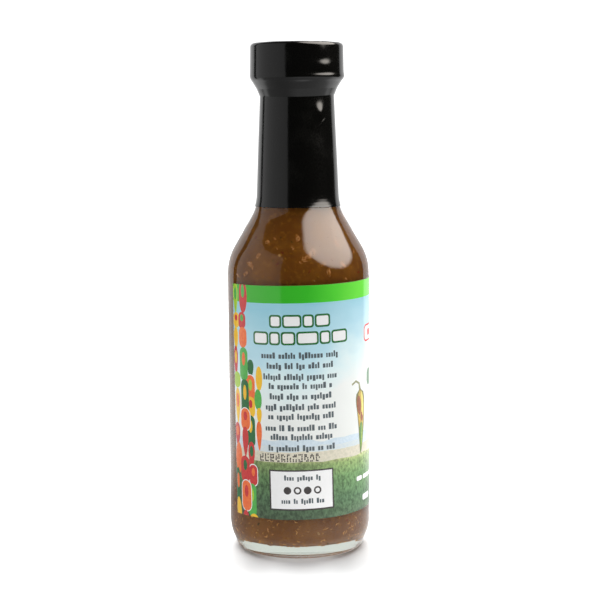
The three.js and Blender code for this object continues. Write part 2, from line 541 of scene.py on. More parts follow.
# %% [markdown]
# ## Shader node groups
#
# Some effects are shared: a fine grain that tilts the surface, handling marks that dull it, and a
# mottle of two colours. Each could be built anew in each material, but as a node group with named
# inputs and outputs it is built once, and each material sets its own values. The groups work in
# object space, in millimetres, so the same numbers mean the same size everywhere.

# %% Group helpers
def new_group(name, inputs, outputs):
    """A shader node group. Sockets are given as (name, kind, value)."""
    tree = bpy.data.node_groups.new(name, "ShaderNodeTree")
    kinds = {"value": "NodeSocketFloat", "colour": "NodeSocketColor", "vector": "NodeSocketVector"}
    for label, kind, value in inputs:
        socket = tree.interface.new_socket(label, in_out="INPUT", socket_type=kinds[kind])
        if value is not None:
            socket.default_value = value
    for label, kind in outputs:
        tree.interface.new_socket(label, in_out="OUTPUT", socket_type=kinds[kind])
    return tree, place(tree, "NodeGroupInput").outputs, place(tree, "NodeGroupOutput").inputs


def use_group(tree, group, **values):
    made = place(tree, "ShaderNodeGroup", node_tree=group)
    for label, value in values.items():
        feed(tree, made.inputs[label.replace("_", " ")], value)
    return made.outputs


def millimetres(tree, squash=(1, 1, 1)):
    """Object coordinates in millimetres, squashed along each axis if asked."""
    scaled = place(tree, "ShaderNodeVectorMath", operation="MULTIPLY")
    feed(tree, scaled.inputs[0], object_spot(tree))
    scaled.inputs[1].default_value = tuple(1000 * v for v in squash)
    return scaled.outputs[0]


def noise_at(tree, spot, size, detail=2.0, roughness=0.5):
    """Noise from 0 to 1 whose blotches are about `size` millimetres across."""
    made = place(tree, "ShaderNodeTexNoise")
    feed(tree, made.inputs["Vector"], spot)
    feed(tree, made.inputs["Scale"], calc(tree, "DIVIDE", 1.0, size)
         if isinstance(size, bpy.types.NodeSocket) else 1.0 / size)
    made.inputs["Detail"].default_value = detail
    made.inputs["Roughness"].default_value = roughness
    return made.outputs["Fac"]


# %% Grain group
def make_grain():
    tree, given, put = new_group(
        "grain", [("Size", "value", 0.3), ("Stretch", "vector", (1, 1, 1))],
        [("Height", "value"), ("Mask", "value")])
    stretched = place(tree, "ShaderNodeVectorMath", operation="MULTIPLY")
    feed(tree, stretched.inputs[0], millimetres(tree))
    feed(tree, stretched.inputs[1], given["Stretch"])
    fine = noise_at(tree, stretched.outputs[0], given["Size"], 3.0, 0.6)
    feed(tree, put["Height"], fine)
    feed(tree, put["Mask"], soft_step(tree, fine, 0.35, 0.65))
    return tree


GRAIN = make_grain()
print("group", GRAIN.name, "has", len(GRAIN.nodes), "nodes")

# %% Handling marks group
def make_handling_marks():
    tree, given, put = new_group(
        "handling_marks", [("Clean", "value", 0.05), ("Dulled", "value", 0.12),
                           ("Size", "value", 9.0)],
        [("Roughness", "value"), ("Mask", "value")])
    spot = millimetres(tree)
    patches = noise_at(tree, spot, given["Size"], 3.0, 0.55)
    specks = noise_at(tree, spot, 0.8, 2.0, 0.5)
    both = calc(tree, "MULTIPLY", soft_step(tree, patches, 0.45, 0.7),
                soft_step(tree, specks, 0.3, 0.7, 0.6, 1.0))
    span = calc(tree, "SUBTRACT", given["Dulled"], given["Clean"])
    feed(tree, put["Roughness"], calc(tree, "ADD", given["Clean"], calc(tree, "MULTIPLY", span, both)))
    feed(tree, put["Mask"], both)
    return tree


HANDLING_MARKS = make_handling_marks()
print("group", HANDLING_MARKS.name, "has", len(HANDLING_MARKS.nodes), "nodes")

# %% Mottle group
def make_mottle():
    tree, given, put = new_group(
        "mottle", [("First", "colour", None), ("Second", "colour", None), ("Size", "value", 4.0),
                   ("Low", "value", 0.4), ("High", "value", 0.6)],
        [("Color", "colour"), ("Mask", "value")])
    clouds = noise_at(tree, millimetres(tree), given["Size"], 4.0, 0.6)
    mask = soft_step(tree, clouds, given["Low"], given["High"])
    feed(tree, put["Mask"], mask)
    feed(tree, put["Color"], blend_colours(tree, mask, given["First"], given["Second"]))
    return tree


MOTTLE = make_mottle()
print("group", MOTTLE.name, "has", len(MOTTLE.nodes), "nodes")

# %% [markdown]
# ## Turning an outline
#
# Glass, sauce, cap and film are all round. A Screw modifier could spin a curve, but dents have to
# be pushed into the result, so the points are made in code. Each piece starts as an outline of
# corners in millimetres, (radius, height, fillet). `rounded` turns each corner into a fine arc,
# and `turn` spins the outline into a mesh and pushes its points in or out where it is told to.

# %% Rounded outlines
ARC_STEP = math.radians(4)


def rounded(corners, step=ARC_STEP):
    points = []
    for k, corner in enumerate(corners):
        here = Vector(corner[:2])
        fillet = corner[2] if len(corner) > 2 else 0
        if not fillet or k in (0, len(corners) - 1):
            points.append(tuple(here))
            continue
        back = (Vector(corners[k - 1][:2]) - here).normalized()
        on = (Vector(corners[k + 1][:2]) - here).normalized()
        opening = back.angle(on)
        middle = here + (back + on).normalized() * fillet / math.sin(opening / 2)
        spoke = here + back * fillet / math.tan(opening / 2) - middle
        side = back.x * on.y - back.y * on.x
        turn_by = math.copysign(math.pi - opening, side)
        steps = max(1, math.ceil(abs(turn_by) / step))
        for n in range(steps + 1):
            points.append(tuple(middle + Matrix.Rotation(-turn_by * n / steps, 2) @ spoke))
    return points


def finer(points, longest):
    """Adds points along an outline so that no step is longer than `longest` millimetres."""
    out = [points[0]]
    for before, after in zip(points, points[1:]):
        steps = max(1, math.ceil(math.dist(before, after) / longest))
        for n in range(1, steps + 1):
            t = n / steps
            out.append((before[0] + (after[0] - before[0]) * t, before[1] + (after[1] - before[1]) * t))
    return out


right_angle = [(0, 0), (1, 0, 0.5), (1, 1)]
print("a rounded right angle has", len(rounded(right_angle)) - 2, "points in its arc")

# %% Turned meshes
SHARP_EDGE = math.radians(40)
ON_AXIS = 1e-6


def ring_faces(rings, closed):
    pairs = list(zip(rings, rings[1:]))
    if closed:
        pairs.append((rings[-1], rings[0]))
    for low, high in pairs:
        count = max(len(low), len(high))
        for k in range(count):
            n = (k + 1) % count
            if len(low) == 1:
                yield (low[0], high[n], high[k])
            elif len(high) == 1:
                yield (low[k], low[n], high[0])
            else:
                yield (low[k], low[n], high[n], high[k])


def turn(name, outline, around, push=None, closed=False, sharp=SHARP_EDGE):
    """Spins an outline round the axis. The angle runs from the front round to the right."""
    points, rings = [], []
    for radius, height in outline:
        if radius < ON_AXIS:
            rings.append([len(points)])
            points.append((0, 0, height * MM))
            continue
        rings.append(list(range(len(points), len(points) + around)))
        for angle in full_turn(around):
            r, z = push(radius, height, angle) if push else (radius, height)
            points.append((r * math.sin(angle) * MM, -r * math.cos(angle) * MM, z * MM))
    return add_mesh(name, points, list(ring_faces(rings, closed)), sharp)


def add_mesh(name, points, faces, sharp=None):
    mesh = bpy.data.meshes.new(name)
    mesh.from_pydata(points, [], faces)
    mesh.validate()
    mesh.shade_smooth()
    if sharp:
        mesh.set_sharp_from_angle(angle=sharp)
    made = bpy.data.objects.new(name, mesh)
    SCENE.collection.objects.link(made)
    return made


# %% Settling a piece in the frame
def settle(piece, material, slot, *nodes):
    """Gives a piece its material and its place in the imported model."""
    if material:
        piece.data.materials.append(material)
    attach(piece, "root")
    if nodes:
        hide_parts(*nodes)
    print(piece.name, "has", len(piece.data.polygons), "faces")
    return piece


# %% [markdown]
# ## The glass bottle
#
# The bottle is clear glass, about 2 mm thick, with a heavy foot, a steep heel that widens to the
# body, and a shallow push-up underneath. A solid with a Boolean hole could stand for it. Here it
# is one closed skin instead: up the outside, over the lip and down the inside. So light bends
# both on the way in and on the way out, and no seam shows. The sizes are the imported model's own.

# %% Glass sizes
BODY_RADIUS = 23.3
WALL = 2.1
FLOOR_HEIGHT = 4.3
HEEL_RADIUS = 20.65
HEEL_FILLET = 1.2
HEEL_TOP_HEIGHT = 6.1
HEEL_TOP_FILLET = 14.0
CAVITY_FILLET = 5.5
FOOT_INNER_RADIUS = 15.6
PUSH_UP_HEIGHT = 1.3
PUSH_UP_RADIUS = 15.0
PUSH_UP_FILLET = 0.5
SHOULDER_HEIGHT = 95.7
SHOULDER_SLOPE = math.radians(30.4)
SHOULDER_FILLET = 18.0
NECK_BASE_RADIUS = 13.3
NECK_FILLET = 16.0
NECK_TOP_RADIUS = 11.77
NECK_TOP_HEIGHT = 148.6
BOTTLE_HEIGHT = 163.4
MOUTH_RADIUS = 8.6
LIP_FILLET = 0.8
NECK_BASE_HEIGHT = SHOULDER_HEIGHT + (BODY_RADIUS - NECK_BASE_RADIUS) / math.tan(SHOULDER_SLOPE)
CORNER_DROP = math.tan(SHOULDER_SLOPE / 2)
GLASS_AROUND = 192
GLASS_STEP = 2.5


def cavity_corners(wall, floor_height):
    """The room inside the glass, for a wall of the given thickness."""
    return [
        (0, floor_height),
        (BODY_RADIUS - wall, floor_height, CAVITY_FILLET),
        (BODY_RADIUS - wall, SHOULDER_HEIGHT - wall * CORNER_DROP, SHOULDER_FILLET - wall),
        (NECK_BASE_RADIUS - wall, NECK_BASE_HEIGHT - wall * CORNER_DROP, NECK_FILLET),
        (NECK_TOP_RADIUS - wall, NECK_TOP_HEIGHT),
    ]


def glass_outline():
    outside = [
        (0, PUSH_UP_HEIGHT),
        (PUSH_UP_RADIUS, PUSH_UP_HEIGHT, PUSH_UP_FILLET),
        (FOOT_INNER_RADIUS, 0),
        (HEEL_RADIUS, 0, HEEL_FILLET),
        (BODY_RADIUS, HEEL_TOP_HEIGHT, HEEL_TOP_FILLET),
        (BODY_RADIUS, SHOULDER_HEIGHT, SHOULDER_FILLET),
        (NECK_BASE_RADIUS, NECK_BASE_HEIGHT, NECK_FILLET),
        (NECK_TOP_RADIUS, NECK_TOP_HEIGHT),
        (NECK_TOP_RADIUS, BOTTLE_HEIGHT, LIP_FILLET),
        (MOUTH_RADIUS, BOTTLE_HEIGHT, LIP_FILLET),
    ]
    return finer(rounded(outside + cavity_corners(WALL, FLOOR_HEIGHT)[::-1]), GLASS_STEP)


print("the glass outline has", len(glass_outline()), "points")

# %% [markdown]
# ## Uneven glass, and a stippled foot
#
# Moulded glass is never quite even, and its underside is stippled. So the skin waves by a few
# hundredths of a millimetre, and a slow bump ripples it a little more. The stipple could be
# modelled dot by dot, but it is so fine that a rough patch in the shader looks the same. A tint
# on the surface would colour thin and thick glass alike. So the faint green comes from
# absorption inside the glass, which shows only in the thick foot.

# %% Glass waves
GLASS_WAVE = 0.03
GLASS_WAVE_WIDE = 9
GLASS_WAVE_TALL = 14


def glass_push(radius, height, angle):
    """Waves the skin. The axis and the ring that the bottle stands on stay true."""
    if radius < 2 or height < 0.2:
        return radius, height
    right, front = radius * math.sin(angle), radius * math.cos(angle)
    spot = Vector((right / GLASS_WAVE_WIDE, front / GLASS_WAVE_WIDE, height / GLASS_WAVE_TALL))
    return radius + GLASS_WAVE * (noise.noise(spot) - 0.4), height


# %% Glass material and piece
STIPPLED_RADIUS = 18.5
STIPPLED_HEIGHT = (PUSH_UP_HEIGHT + 0.3, PUSH_UP_HEIGHT + 0.8)
STIPPLE_ROUGHNESS = 0.15
GLASS_RIPPLE = 0.03
GLASS_GREEN = (0.76, 0.88, 0.74, 1)
GLASS_GREEN_DENSITY = 15.0


def underside_roughness(tree):
    """The foot is stippled underneath, and polished everywhere else."""
    x, y, z = split(tree, millimetres(tree))
    reach = level_length(tree, x, y)
    under = calc(tree, "MULTIPLY", soft_step(tree, reach, STIPPLED_RADIUS - 1, STIPPLED_RADIUS, 1.0, 0.0),
                 soft_step(tree, z, *STIPPLED_HEIGHT, 1.0, 0.0))
    return calc(tree, "MULTIPLY", under, STIPPLE_ROUGHNESS)


def glass_material():
    made, tree, shader = new_material(
        "clear_glass", Base_Color=(0.985, 0.995, 0.99, 1), IOR=1.5, Transmission_Weight=1.0)
    feed(tree, shader.inputs["Roughness"], underside_roughness(tree))
    ripple = noise_at(tree, millimetres(tree, (1, 1, 0.5)), 9.0, 0.0)
    add_bump(tree, shader, ripple, GLASS_RIPPLE)
    tint = place(tree, "ShaderNodeVolumeAbsorption")
    feed(tree, tint.inputs["Color"], GLASS_GREEN)
    feed(tree, tint.inputs["Density"], GLASS_GREEN_DENSITY)
    feed(tree, tree.nodes["Material Output"].inputs["Volume"], tint.outputs[0])
    return made


glass = turn("bottle_glass", glass_outline(), GLASS_AROUND, glass_push)
settle(glass, glass_material(), "clear_glass", "glass_bottle")

# %% [markdown]
# ## The sauce
#
# The bottle is full of a thick brown sauce, up to a level that the black film hides. It could be
# a volume that scatters light, but that takes far longer to render and looks just as opaque. So it
# is a solid with a rough surface and a faint warm sheen. The sauce touches the glass everywhere,
# and any air gap would show as a silvery film, so the piece reaches just over a tenth of a
# millimetre into the wall. Its colour is a mottle of three browns, with a fine grit over it.

# %% Sauce outline
SAUCE_INTO_WALL = 0.12
SAUCE_LEVEL = 141.0
MENISCUS = 0.8
MENISCUS_WIDTH = 2.5
MENISCUS_FILLET = 3.0
SAUCE_AROUND = 128
SAUCE_STEP = 3.0


def sauce_outline():
    corners = cavity_corners(WALL - SAUCE_INTO_WALL, FLOOR_HEIGHT - SAUCE_INTO_WALL)
    rise = (SAUCE_LEVEL - NECK_BASE_HEIGHT) / (NECK_TOP_HEIGHT - NECK_BASE_HEIGHT)
    rim = corners[3][0] + (corners[4][0] - corners[3][0]) * rise
    middle = SAUCE_LEVEL - MENISCUS
    top = [(rim, SAUCE_LEVEL), (rim - MENISCUS_WIDTH, middle, MENISCUS_FILLET), (0, middle)]
    return finer(rounded(corners[:4] + top), SAUCE_STEP)


print("the sauce outline has", len(sauce_outline()), "points")

# %% Sauce material and piece
SAUCE_BROWN = (0.182, 0.066, 0.006, 1)
SAUCE_DARK = (0.142, 0.047, 0.004, 1)
SAUCE_GOLD = (0.36, 0.15, 0.015, 1)
SAUCE_GOLD_SHARE = 0.35
SAUCE_SHEEN = (1.0, 0.5, 0.2, 1)
BLACK = (0, 0, 0, 1)
WHITE = (1, 1, 1, 1)


def sauce_material():
    made, tree, shader = new_material("brown_sauce", Roughness=0.42, Specular_IOR_Level=0.3,
                                      Specular_Tint=SAUCE_SHEEN)
    broad = use_group(tree, MOTTLE, First=SAUCE_DARK, Second=SAUCE_BROWN, Size=9.0, Low=0.38, High=0.62)
    fine = use_group(tree, MOTTLE, First=BLACK, Second=WHITE, Size=1.6, Low=0.52, High=0.72)
    gold = calc(tree, "MULTIPLY", fine["Mask"], SAUCE_GOLD_SHARE)
    feed(tree, shader.inputs["Base Color"], blend_colours(tree, gold, broad["Color"], SAUCE_GOLD))
    add_bump(tree, shader, use_group(tree, GRAIN, Size=0.5)["Height"], 0.03)
    return made


sauce = turn("sauce_fill", sauce_outline(), SAUCE_AROUND)
settle(sauce, sauce_material(), "brown_sauce", "sauce")

# %% [markdown]
# ## Seeds and flecks
#
# Pale seeds, golden pulp and bits of red and green skin hang in the sauce. A noise texture could
# paint them, but its blotches all have one shape, and these stand out from the sauce a little.
# Only those against the wall can be seen, so each kind is one mesh of many small lumps, at true
# size, strewn along the wall by a seeded random generator. Each run then gives the same bottle.
# A lump is partly sunk in the sauce, and stands out of it by less than a quarter of a millimetre,
# into the glass. First, the wall is measured, so that the lumps can be spread evenly over it.

# %% Places on the wall
def wall_points():
    """Stretches up the sauce's wall, each as (start, length, lower end, upper end, lean)."""
    wall = [p for p in sauce_outline() if 1.0 < p[0] and p[1] < SAUCE_LEVEL - 2]
    along, out = 0.0, []
    for before, after in zip(wall, wall[1:]):
        step = math.dist(before, after)
        lean = math.atan2(after[0] - before[0], after[1] - before[1])
        out.append((along, step, before, after, lean))
        along += step
    return out, along


WALL_POINTS, WALL_LENGTH = wall_points()


def spot_at(across, height):
    """The place against the glass at a height, a distance to the right of the front."""
    _, _, before, after, lean = next(p for p in WALL_POINTS if p[3][1] >= height and p[2][1] > 15)
    t = (height - before[1]) / (after[1] - before[1])
    radius = before[0] + (after[0] - before[0]) * t
    return radius, height, lean, math.asin(across / radius)


def spot_on_wall(chance, top):
    """A random place against the glass below a height, spread evenly over its area."""
    while True:
        far = chance.uniform(0, WALL_LENGTH)
        start, step, before, after, lean = next(p for p in WALL_POINTS if p[0] + p[1] >= far)
        t = (far - start) / step
        radius = before[0] + (after[0] - before[0]) * t
        height = before[1] + (after[1] - before[1]) * t
        if height < top and chance.random() < radius / BODY_RADIUS:
            return radius, height, lean, chance.uniform(-math.pi, math.pi)


print("the sauce's wall is", round(WALL_LENGTH, 1), "mm long")

# %% One lump
LUMP_AROUND = 8
LUMP_RINGS = 4


def lump_faces():
    """Triangles at both ends of a lump, and bands of four-sided faces between its rings."""
    faces = []
    last = (LUMP_RINGS - 1) * LUMP_AROUND + 1
    for k in range(LUMP_AROUND):
        n = (k + 1) % LUMP_AROUND
        faces.append((0, 1 + k, 1 + n))
        for i in range(LUMP_RINGS - 2):
            a = 1 + i * LUMP_AROUND
            b = a + LUMP_AROUND
            faces.append((a + k, b + k, b + n, a + n))
        foot = last - LUMP_AROUND
        faces.append((foot + n, foot + k, last))
    return faces


def lump_points(chance, size, jag, bend):
    """A squashed ball of rings with uneven corners, bent like a curl."""
    points = [(0, 0, size[2])]
    for i in range(1, LUMP_RINGS):
        tilt = math.pi * i / LUMP_RINGS
        for turned in full_turn(LUMP_AROUND):
            swell = 1 + jag * chance.uniform(-1, 1)
            points.append((size[0] * math.sin(tilt) * math.cos(turned) * swell,
                           size[1] * math.sin(tilt) * math.sin(turned) * swell,
                           size[2] * math.cos(tilt)))
    points.append((0, 0, -size[2]))
    return [(x, y + bend * x * x / size[0], z) for x, y, z in points]


print("each lump has", len(lump_faces()), "faces")

# %% Strewing the lumps
def strew(name, seed, count, top, size, jag, depth, places=()):
    """Many lumps in one mesh. `size` gives the smallest and largest half-length, and the ratios."""
    chance = random.Random(seed)
    points, faces = [], []
    smallest, largest, wide, thick, bend = size
    for n in range(count + len(places)):
        if n < count:
            radius, height, lean, angle = spot_on_wall(chance, top)
            long = chance.uniform(smallest, largest)
        else:
            across, up, long = places[n - count]
            radius, height, lean, angle = spot_at(across, up)
        local = lump_points(chance, (long, long * wide, long * thick), jag, bend)
        out = Vector((math.sin(angle) * math.cos(lean), -math.cos(angle) * math.cos(lean), -math.sin(lean)))
        facing = out.to_track_quat("Z", "Y") @ Quaternion((0, 0, 1), chance.uniform(0, math.tau))
        facing = facing @ Quaternion((1, 0, 0), chance.uniform(-0.25, 0.25))
        placed = [facing @ Vector(p) for p in local]
        centre = Vector((radius * math.sin(angle), -radius * math.cos(angle), height))
        centre += out * (chance.uniform(*depth) - max(p.dot(out) for p in placed))
        first = len(points)
        points += [(centre + p) * MM for p in placed]
        faces += [tuple(first + i for i in face) for face in lump_faces()]
    return add_mesh(name, points, faces)


def fleck_material(name, light, dark, roughness):
    made, tree, shader = new_material(name, Roughness=roughness, Specular_IOR_Level=0.0)
    tint = use_group(tree, MOTTLE, First=light, Second=dark, Size=0.8, Low=0.38, High=0.6)
    feed(tree, shader.inputs["Base Color"], tint["Color"])
    add_bump(tree, shader, use_group(tree, GRAIN, Size=0.3)["Height"], 0.02)
    return made


# %% Kinds of flecks
# Each kind is: seed, count, top in millimetres; then the smallest and largest half-length, width
# and thickness as shares of it, and bend; jag; depth into the glass; light and dark colour.
EVERYWHERE = 200
FLECKS = {
    "pale_seeds": (11, 46, EVERYWHERE, (0.6, 0.95, 0.75, 0.3, 0.0), 0.16, (0.0, 0.08),
                   (0.40, 0.22, 0.08, 1), (0.27, 0.125, 0.03, 1)),
    "peach_pulp": (15, 200, EVERYWHERE, (0.4, 1.2, 0.6, 0.3, 0.25), 0.42, (0.08, 0.22),
                   (0.52, 0.23, 0.08, 1), (0.27, 0.105, 0.018, 1)),
    "golden_pulp": (12, 900, EVERYWHERE, (0.25, 0.9, 0.6, 0.4, 0.0), 0.3, (0.02, 0.14),
                    (0.27, 0.115, 0.016, 1), (0.19, 0.075, 0.008, 1)),
    "orange_curls": (16, 330, 17, (0.35, 0.95, 0.22, 0.24, 0.8), 0.2, (0.08, 0.2),
                     (0.72, 0.36, 0.11, 1), (0.50, 0.23, 0.05, 1)),
    "red_skin": (13, 130, EVERYWHERE, (0.4, 1.0, 0.5, 0.25, 0.3), 0.3, (0.04, 0.16),
                 (0.25, 0.055, 0.015, 1), (0.16, 0.04, 0.01, 1)),
    "green_skin": (14, 90, EVERYWHERE, (0.4, 1.0, 0.5, 0.25, 0.3), 0.3, (0.02, 0.1),
                   (0.10, 0.065, 0.010, 1), (0.07, 0.04, 0.006, 1)),
}
# Larger pieces of pulp, each (distance right of the front, height, half-length) in millimetres.
PULP_PLACES = (
    (-9.1, 101.7, 1.7), (0.0, 103.2, 1.5), (3.2, 97.9, 2.1), (1.8, 96.6, 1.6), (12.1, 101.0, 1.9),
    (13.6, 95.0, 1.9), (-14.7, 94.9, 2.0), (-16.2, 92.0, 1.5), (9.3, 92.7, 1.9), (-1.5, 100.4, 1.2),
    (4.8, 99.0, 1.4), (-12.4, 97.5, 1.4), (7.6, 95.4, 1.5),
)

for name, (*shape, light, dark) in FLECKS.items():
    flecks = strew(name, *shape, PULP_PLACES if name == "peach_pulp" else ())
    settle(flecks, fleck_material(name, light, dark, 0.4), "brown_sauce")

# %% [markdown]
# ## The label
#
# The label is thin paper, wrapped round the body and a little crooked. An image could carry its
# print, but an image blurs when the camera comes close. So the print is built from flat shapes,
# in label millimetres: u runs from the left edge, v up from the middle. A constrained
# triangulation cuts all the shapes out of one sheet, each triangle takes the ink of the topmost
# shape, and the sheet is then bent round the glass. The first cell gives the sheet's sizes and
# keeps the list of shapes, each cut to the sheet's own rectangle.

# %% Label sheet
LABEL_GAP = 0.15
LABEL_LENGTH = 133.4
LABEL_HEIGHT = 75.3
LABEL_MIDDLE_HEIGHT = 51.4
LABEL_LEFT_EDGE = math.radians(-62.8)
LABEL_TILT = math.radians(1.03)
LABEL_TILT_CENTRE = math.radians(5)
LABEL_WRAP_RADIUS = BODY_RADIUS + LABEL_GAP
HALF = LABEL_HEIGHT / 2
SMALLEST_AREA = 0.02

shapes = []


def pairs_round(items):
    """Each item with the next one, and the last with the first."""
    return zip(items, items[1:] + items[:1])


def clip(points):
    for axis, limit, side in ((0, 0, 1), (0, LABEL_LENGTH, -1), (1, -HALF, 1), (1, HALF, -1)):
        out = []
        for a, b in pairs_round(points):
            da, db = (a[axis] - limit) * side, (b[axis] - limit) * side
            if da >= 0:
                out.append(a)
            if da * db < 0:
                out.append(a.lerp(b, da / (da - db)))
        points = out
    return points


def print_shape(ink, points):
    """Lays a shape over the ones before it, cut to the label's own rectangle."""
    kept = clip([Vector(p) for p in points])
    area = sum(a.x * b.y - b.x * a.y for a, b in pairs_round(kept))
    if abs(area) > SMALLEST_AREA:
        shapes.append((ink, kept if area > 0 else kept[::-1]))


print("the label is", LABEL_LENGTH, "by", LABEL_HEIGHT, "mm")

# %% Plain shapes
CORNER_STEPS = 4


def block(u0, v0, u1, v1, corner=0.0):
    """A rectangle, with rounded corners if asked."""
    if not corner:
        return [(u0, v0), (u1, v0), (u1, v1), (u0, v1)]
    corner = min(corner, (u1 - u0) / 2 - 0.01, (v1 - v0) / 2 - 0.01)
    out = []
    for cu, cv, start in ((u1 - corner, v0 + corner, -90), (u1 - corner, v1 - corner, 0),
                          (u0 + corner, v1 - corner, 90), (u0 + corner, v0 + corner, 180)):
        for n in range(CORNER_STEPS + 1):
            a = math.radians(start + 90 * n / CORNER_STEPS)
            out.append((cu + corner * math.cos(a), cv + corner * math.sin(a)))
    return out


def oval(u, v, ru, rv, steps=20):
    return [(u + ru * math.cos(a), v + rv * math.sin(a)) for a in full_turn(steps)]


def capsule(u, v, ru, rv):
    return block(u - ru, v - rv, u + ru, v + rv, ru)


def drop(u, v, ru, rv, steps=20):
    """A pointed drop, its tip downwards."""
    out = []
    for a in full_turn(steps):
        taper = 0.55 + 0.45 * math.sin(a)
        out.append((u + ru * math.cos(a) * (0.35 + 0.65 * taper), v + rv * math.sin(a)))
    return out


def leaf(path, widths):
    """A band along a path of points, with a half-width at each."""
    left, right = [], []
    for k, here in enumerate(path):
        before, after = path[max(0, k - 1)], path[min(len(path) - 1, k + 1)]
        along = Vector((after[0] - before[0], after[1] - before[1])).normalized()
        side = Vector((-along.y, along.x)) * widths[k]
        left.append((here[0] + side.x, here[1] + side.y))
        right.append((here[0] - side.x, here[1] - side.y))
    return left + right[::-1]


print("a drop has", len(drop(0, 0, 1, 2)), "corners")

# %% [markdown]
# ## Sky, hills and grass
#
# The background of the print is a pale sky that deepens upwards, with faint hills, a strip of
# sand and dark grass below, and a green band along the top edge. Each is a field from a wandering
# line down to the label's foot, and the later fields cover the lower part of the earlier ones.

# %% Landscape
GREEN_BAND = 32.1


def wavy(v, swing, seed, u0=0.0, u1=LABEL_LENGTH, step=1.2):
    """A level line that wanders up and down."""
    count = int((u1 - u0) / step)
    return [(u0 + (u1 - u0) * k / count, v + swing * noise.noise(Vector((k * step / 6, seed, 0))))
            for k in range(count + 1)]


label_foot = [(LABEL_LENGTH, -HALF), (0, -HALF)]
print_shape("sky", block(0, -HALF, LABEL_LENGTH, HALF))
print_shape("far_hill", wavy(-11.9, 1.3, 3.0) + label_foot)
print_shape("near_hill", wavy(-13.9, 0.9, 9.0) + label_foot)
print_shape("sand", wavy(-15.6, 0.4, 5.0) + label_foot)
print_shape("grass", wavy(-18.9, 0.35, 7.0, step=0.6) + label_foot)
print_shape("band_green", block(0, GREEN_BAND, LABEL_LENGTH, HALF))
print("label shapes so far:", len(shapes))

# %% [markdown]
# ## Rows that stand for text
#
# Over the sky lie ten lines of small print, a dotted code, a title of two rows, and a white box
# with a row of round signs. A Text object could set type. Rows of small blocks, with the sizes
# and gaps of letters and words, give a line the same grey at this distance, and a seeded
# generator can vary them without end. The dotted marks are drawn in the same way.

# %% Rows of blocks
INK_BAR = 1.25
TITLE_RIM = 0.6


def bar_line(ink, middle, v, width, seed, height=INK_BAR, gap=0.75, words=(1.6, 6.2)):
    """A row of word-long bars, centred."""
    chance = random.Random(seed)
    lengths = []
    while sum(lengths) + gap * len(lengths) < width - 1.2:
        left = width - sum(lengths) - gap * len(lengths)
        lengths.append(min(chance.uniform(*words), left))
    u = middle - (sum(lengths) + gap * (len(lengths) - 1)) / 2
    for length in lengths:
        print_shape(ink, block(u, v - height / 2, u + length, v + height / 2, height * 0.35))
        u += length + gap


def letter_line(ink, middle, v, width, seed, x_height=1.35, gap=0.22, space=1.15):
    """A row of small blocks of the size of letters, in groups of the size of words."""
    chance = random.Random(seed)
    spans, u = [], 0.0
    while u < width:
        for _ in range(chance.randint(2, 8)):
            wide = chance.uniform(0.55, 0.95) * x_height / 1.35
            spans.append((u, u + wide, chance.random()))
            u += wide + gap
        u += space - gap
    spans = [s for s in spans if s[1] < width]
    start = middle - spans[-1][1] / 2
    for a, b, kind in spans:
        low = v - x_height * (0.85 if kind < 0.12 else 0.5)
        high = v + x_height * (0.95 if kind > 0.68 else 0.5)
        print_shape(ink, block(start + a, low, start + b, high, 0.12))


def dotted_code(ink, u, v, cells, seed, pitch=(0.46, 0.52)):
    """A row of dotted marks, like those of an ink-jet date printer, that spell nothing."""
    chance = random.Random(seed)
    for cell in range(cells):
        for column in range(3):
            for row in range(5):
                edge = column in (0, 2) or row in (0, 4)
                if chance.random() < (0.72 if edge else 0.22):
                    du, dv = chance.uniform(-0.05, 0.05), chance.uniform(-0.05, 0.05)
                    print_shape(ink, oval(u + cell * 1.86 + column * pitch[0] + du,
                                          v + (row - 2) * pitch[1] + dv, 0.25, 0.28, 6))


def title_row(blocks, middle, v0, v1, gap=1.45):
    total = sum(blocks) + gap * (len(blocks) - 1)
    u = middle - total / 2
    spans = []
    for width in blocks:
        spans.append((u, u + width))
        u += width + gap
    for a, b in spans:
        print_shape("title_rim", block(a - TITLE_RIM, v0 - TITLE_RIM, b + TITLE_RIM, v1 + TITLE_RIM, 1.0))
    for a, b in spans:
        print_shape("white_ink", block(a, v0, b, v1, 0.6))


# %% Text, code and title
TEXT_MIDDLE = 26.2
TEXT_LINES = ((15.2, 25.6), (11.9, 22.4), (8.4, 24.6), (5.4, 21.3), (2.1, 20.8), (-1.3, 23.6),
              (-4.4, 22.9), (-8.1, 25.7), (-11.0, 21.2), (-14.6, 23.5))
for n, (v, width) in enumerate(TEXT_LINES):
    letter_line("dark_text", TEXT_MIDDLE, v, width, 40 + n)
dotted_code("code_ink", 12.2, -17.5, 11, 61)
title_row((2.9, 5.0, 2.5, 4.0), 26.5, 24.9, 27.9)
title_row((4.4, 2.5, 3.5, 6.0, 2.6, 4.9), 26.7, 19.4, 22.5)
print("label shapes so far:", len(shapes))

# %% White box
BOX = (15.2, -34.6, 36.5, -21.4)
BOX_FRAME = 0.5
BOX_MIDDLE = 26.1
SIGNS_START = (21.2, -28.1)
SIGN_PITCH = 3.25


def framed(u0, v0, u1, v1, rim):
    print_shape("frame_ink", block(u0, v0, u1, v1))
    print_shape("white_ink", block(u0 + rim, v0 + rim, u1 - rim, v1 - rim))


def white_box():
    """A framed box with two short lines, and a row of dots and rings between them."""
    framed(*BOX, BOX_FRAME)
    letter_line("dark_text", BOX_MIDDLE, -24.2, 12.6, 71, x_height=1.15)
    u, v = SIGNS_START
    for n in range(4):
        print_shape("frame_ink", oval(u + SIGN_PITCH * n, v, 1.25, 1.25))
        if n % 2:
            print_shape("white_ink", oval(u + SIGN_PITCH * n, v, 0.7, 0.7))
    letter_line("dark_text", BOX_MIDDLE, -31.8, 14.6, 73, x_height=1.15)


white_box()
print("label shapes so far:", len(shapes))

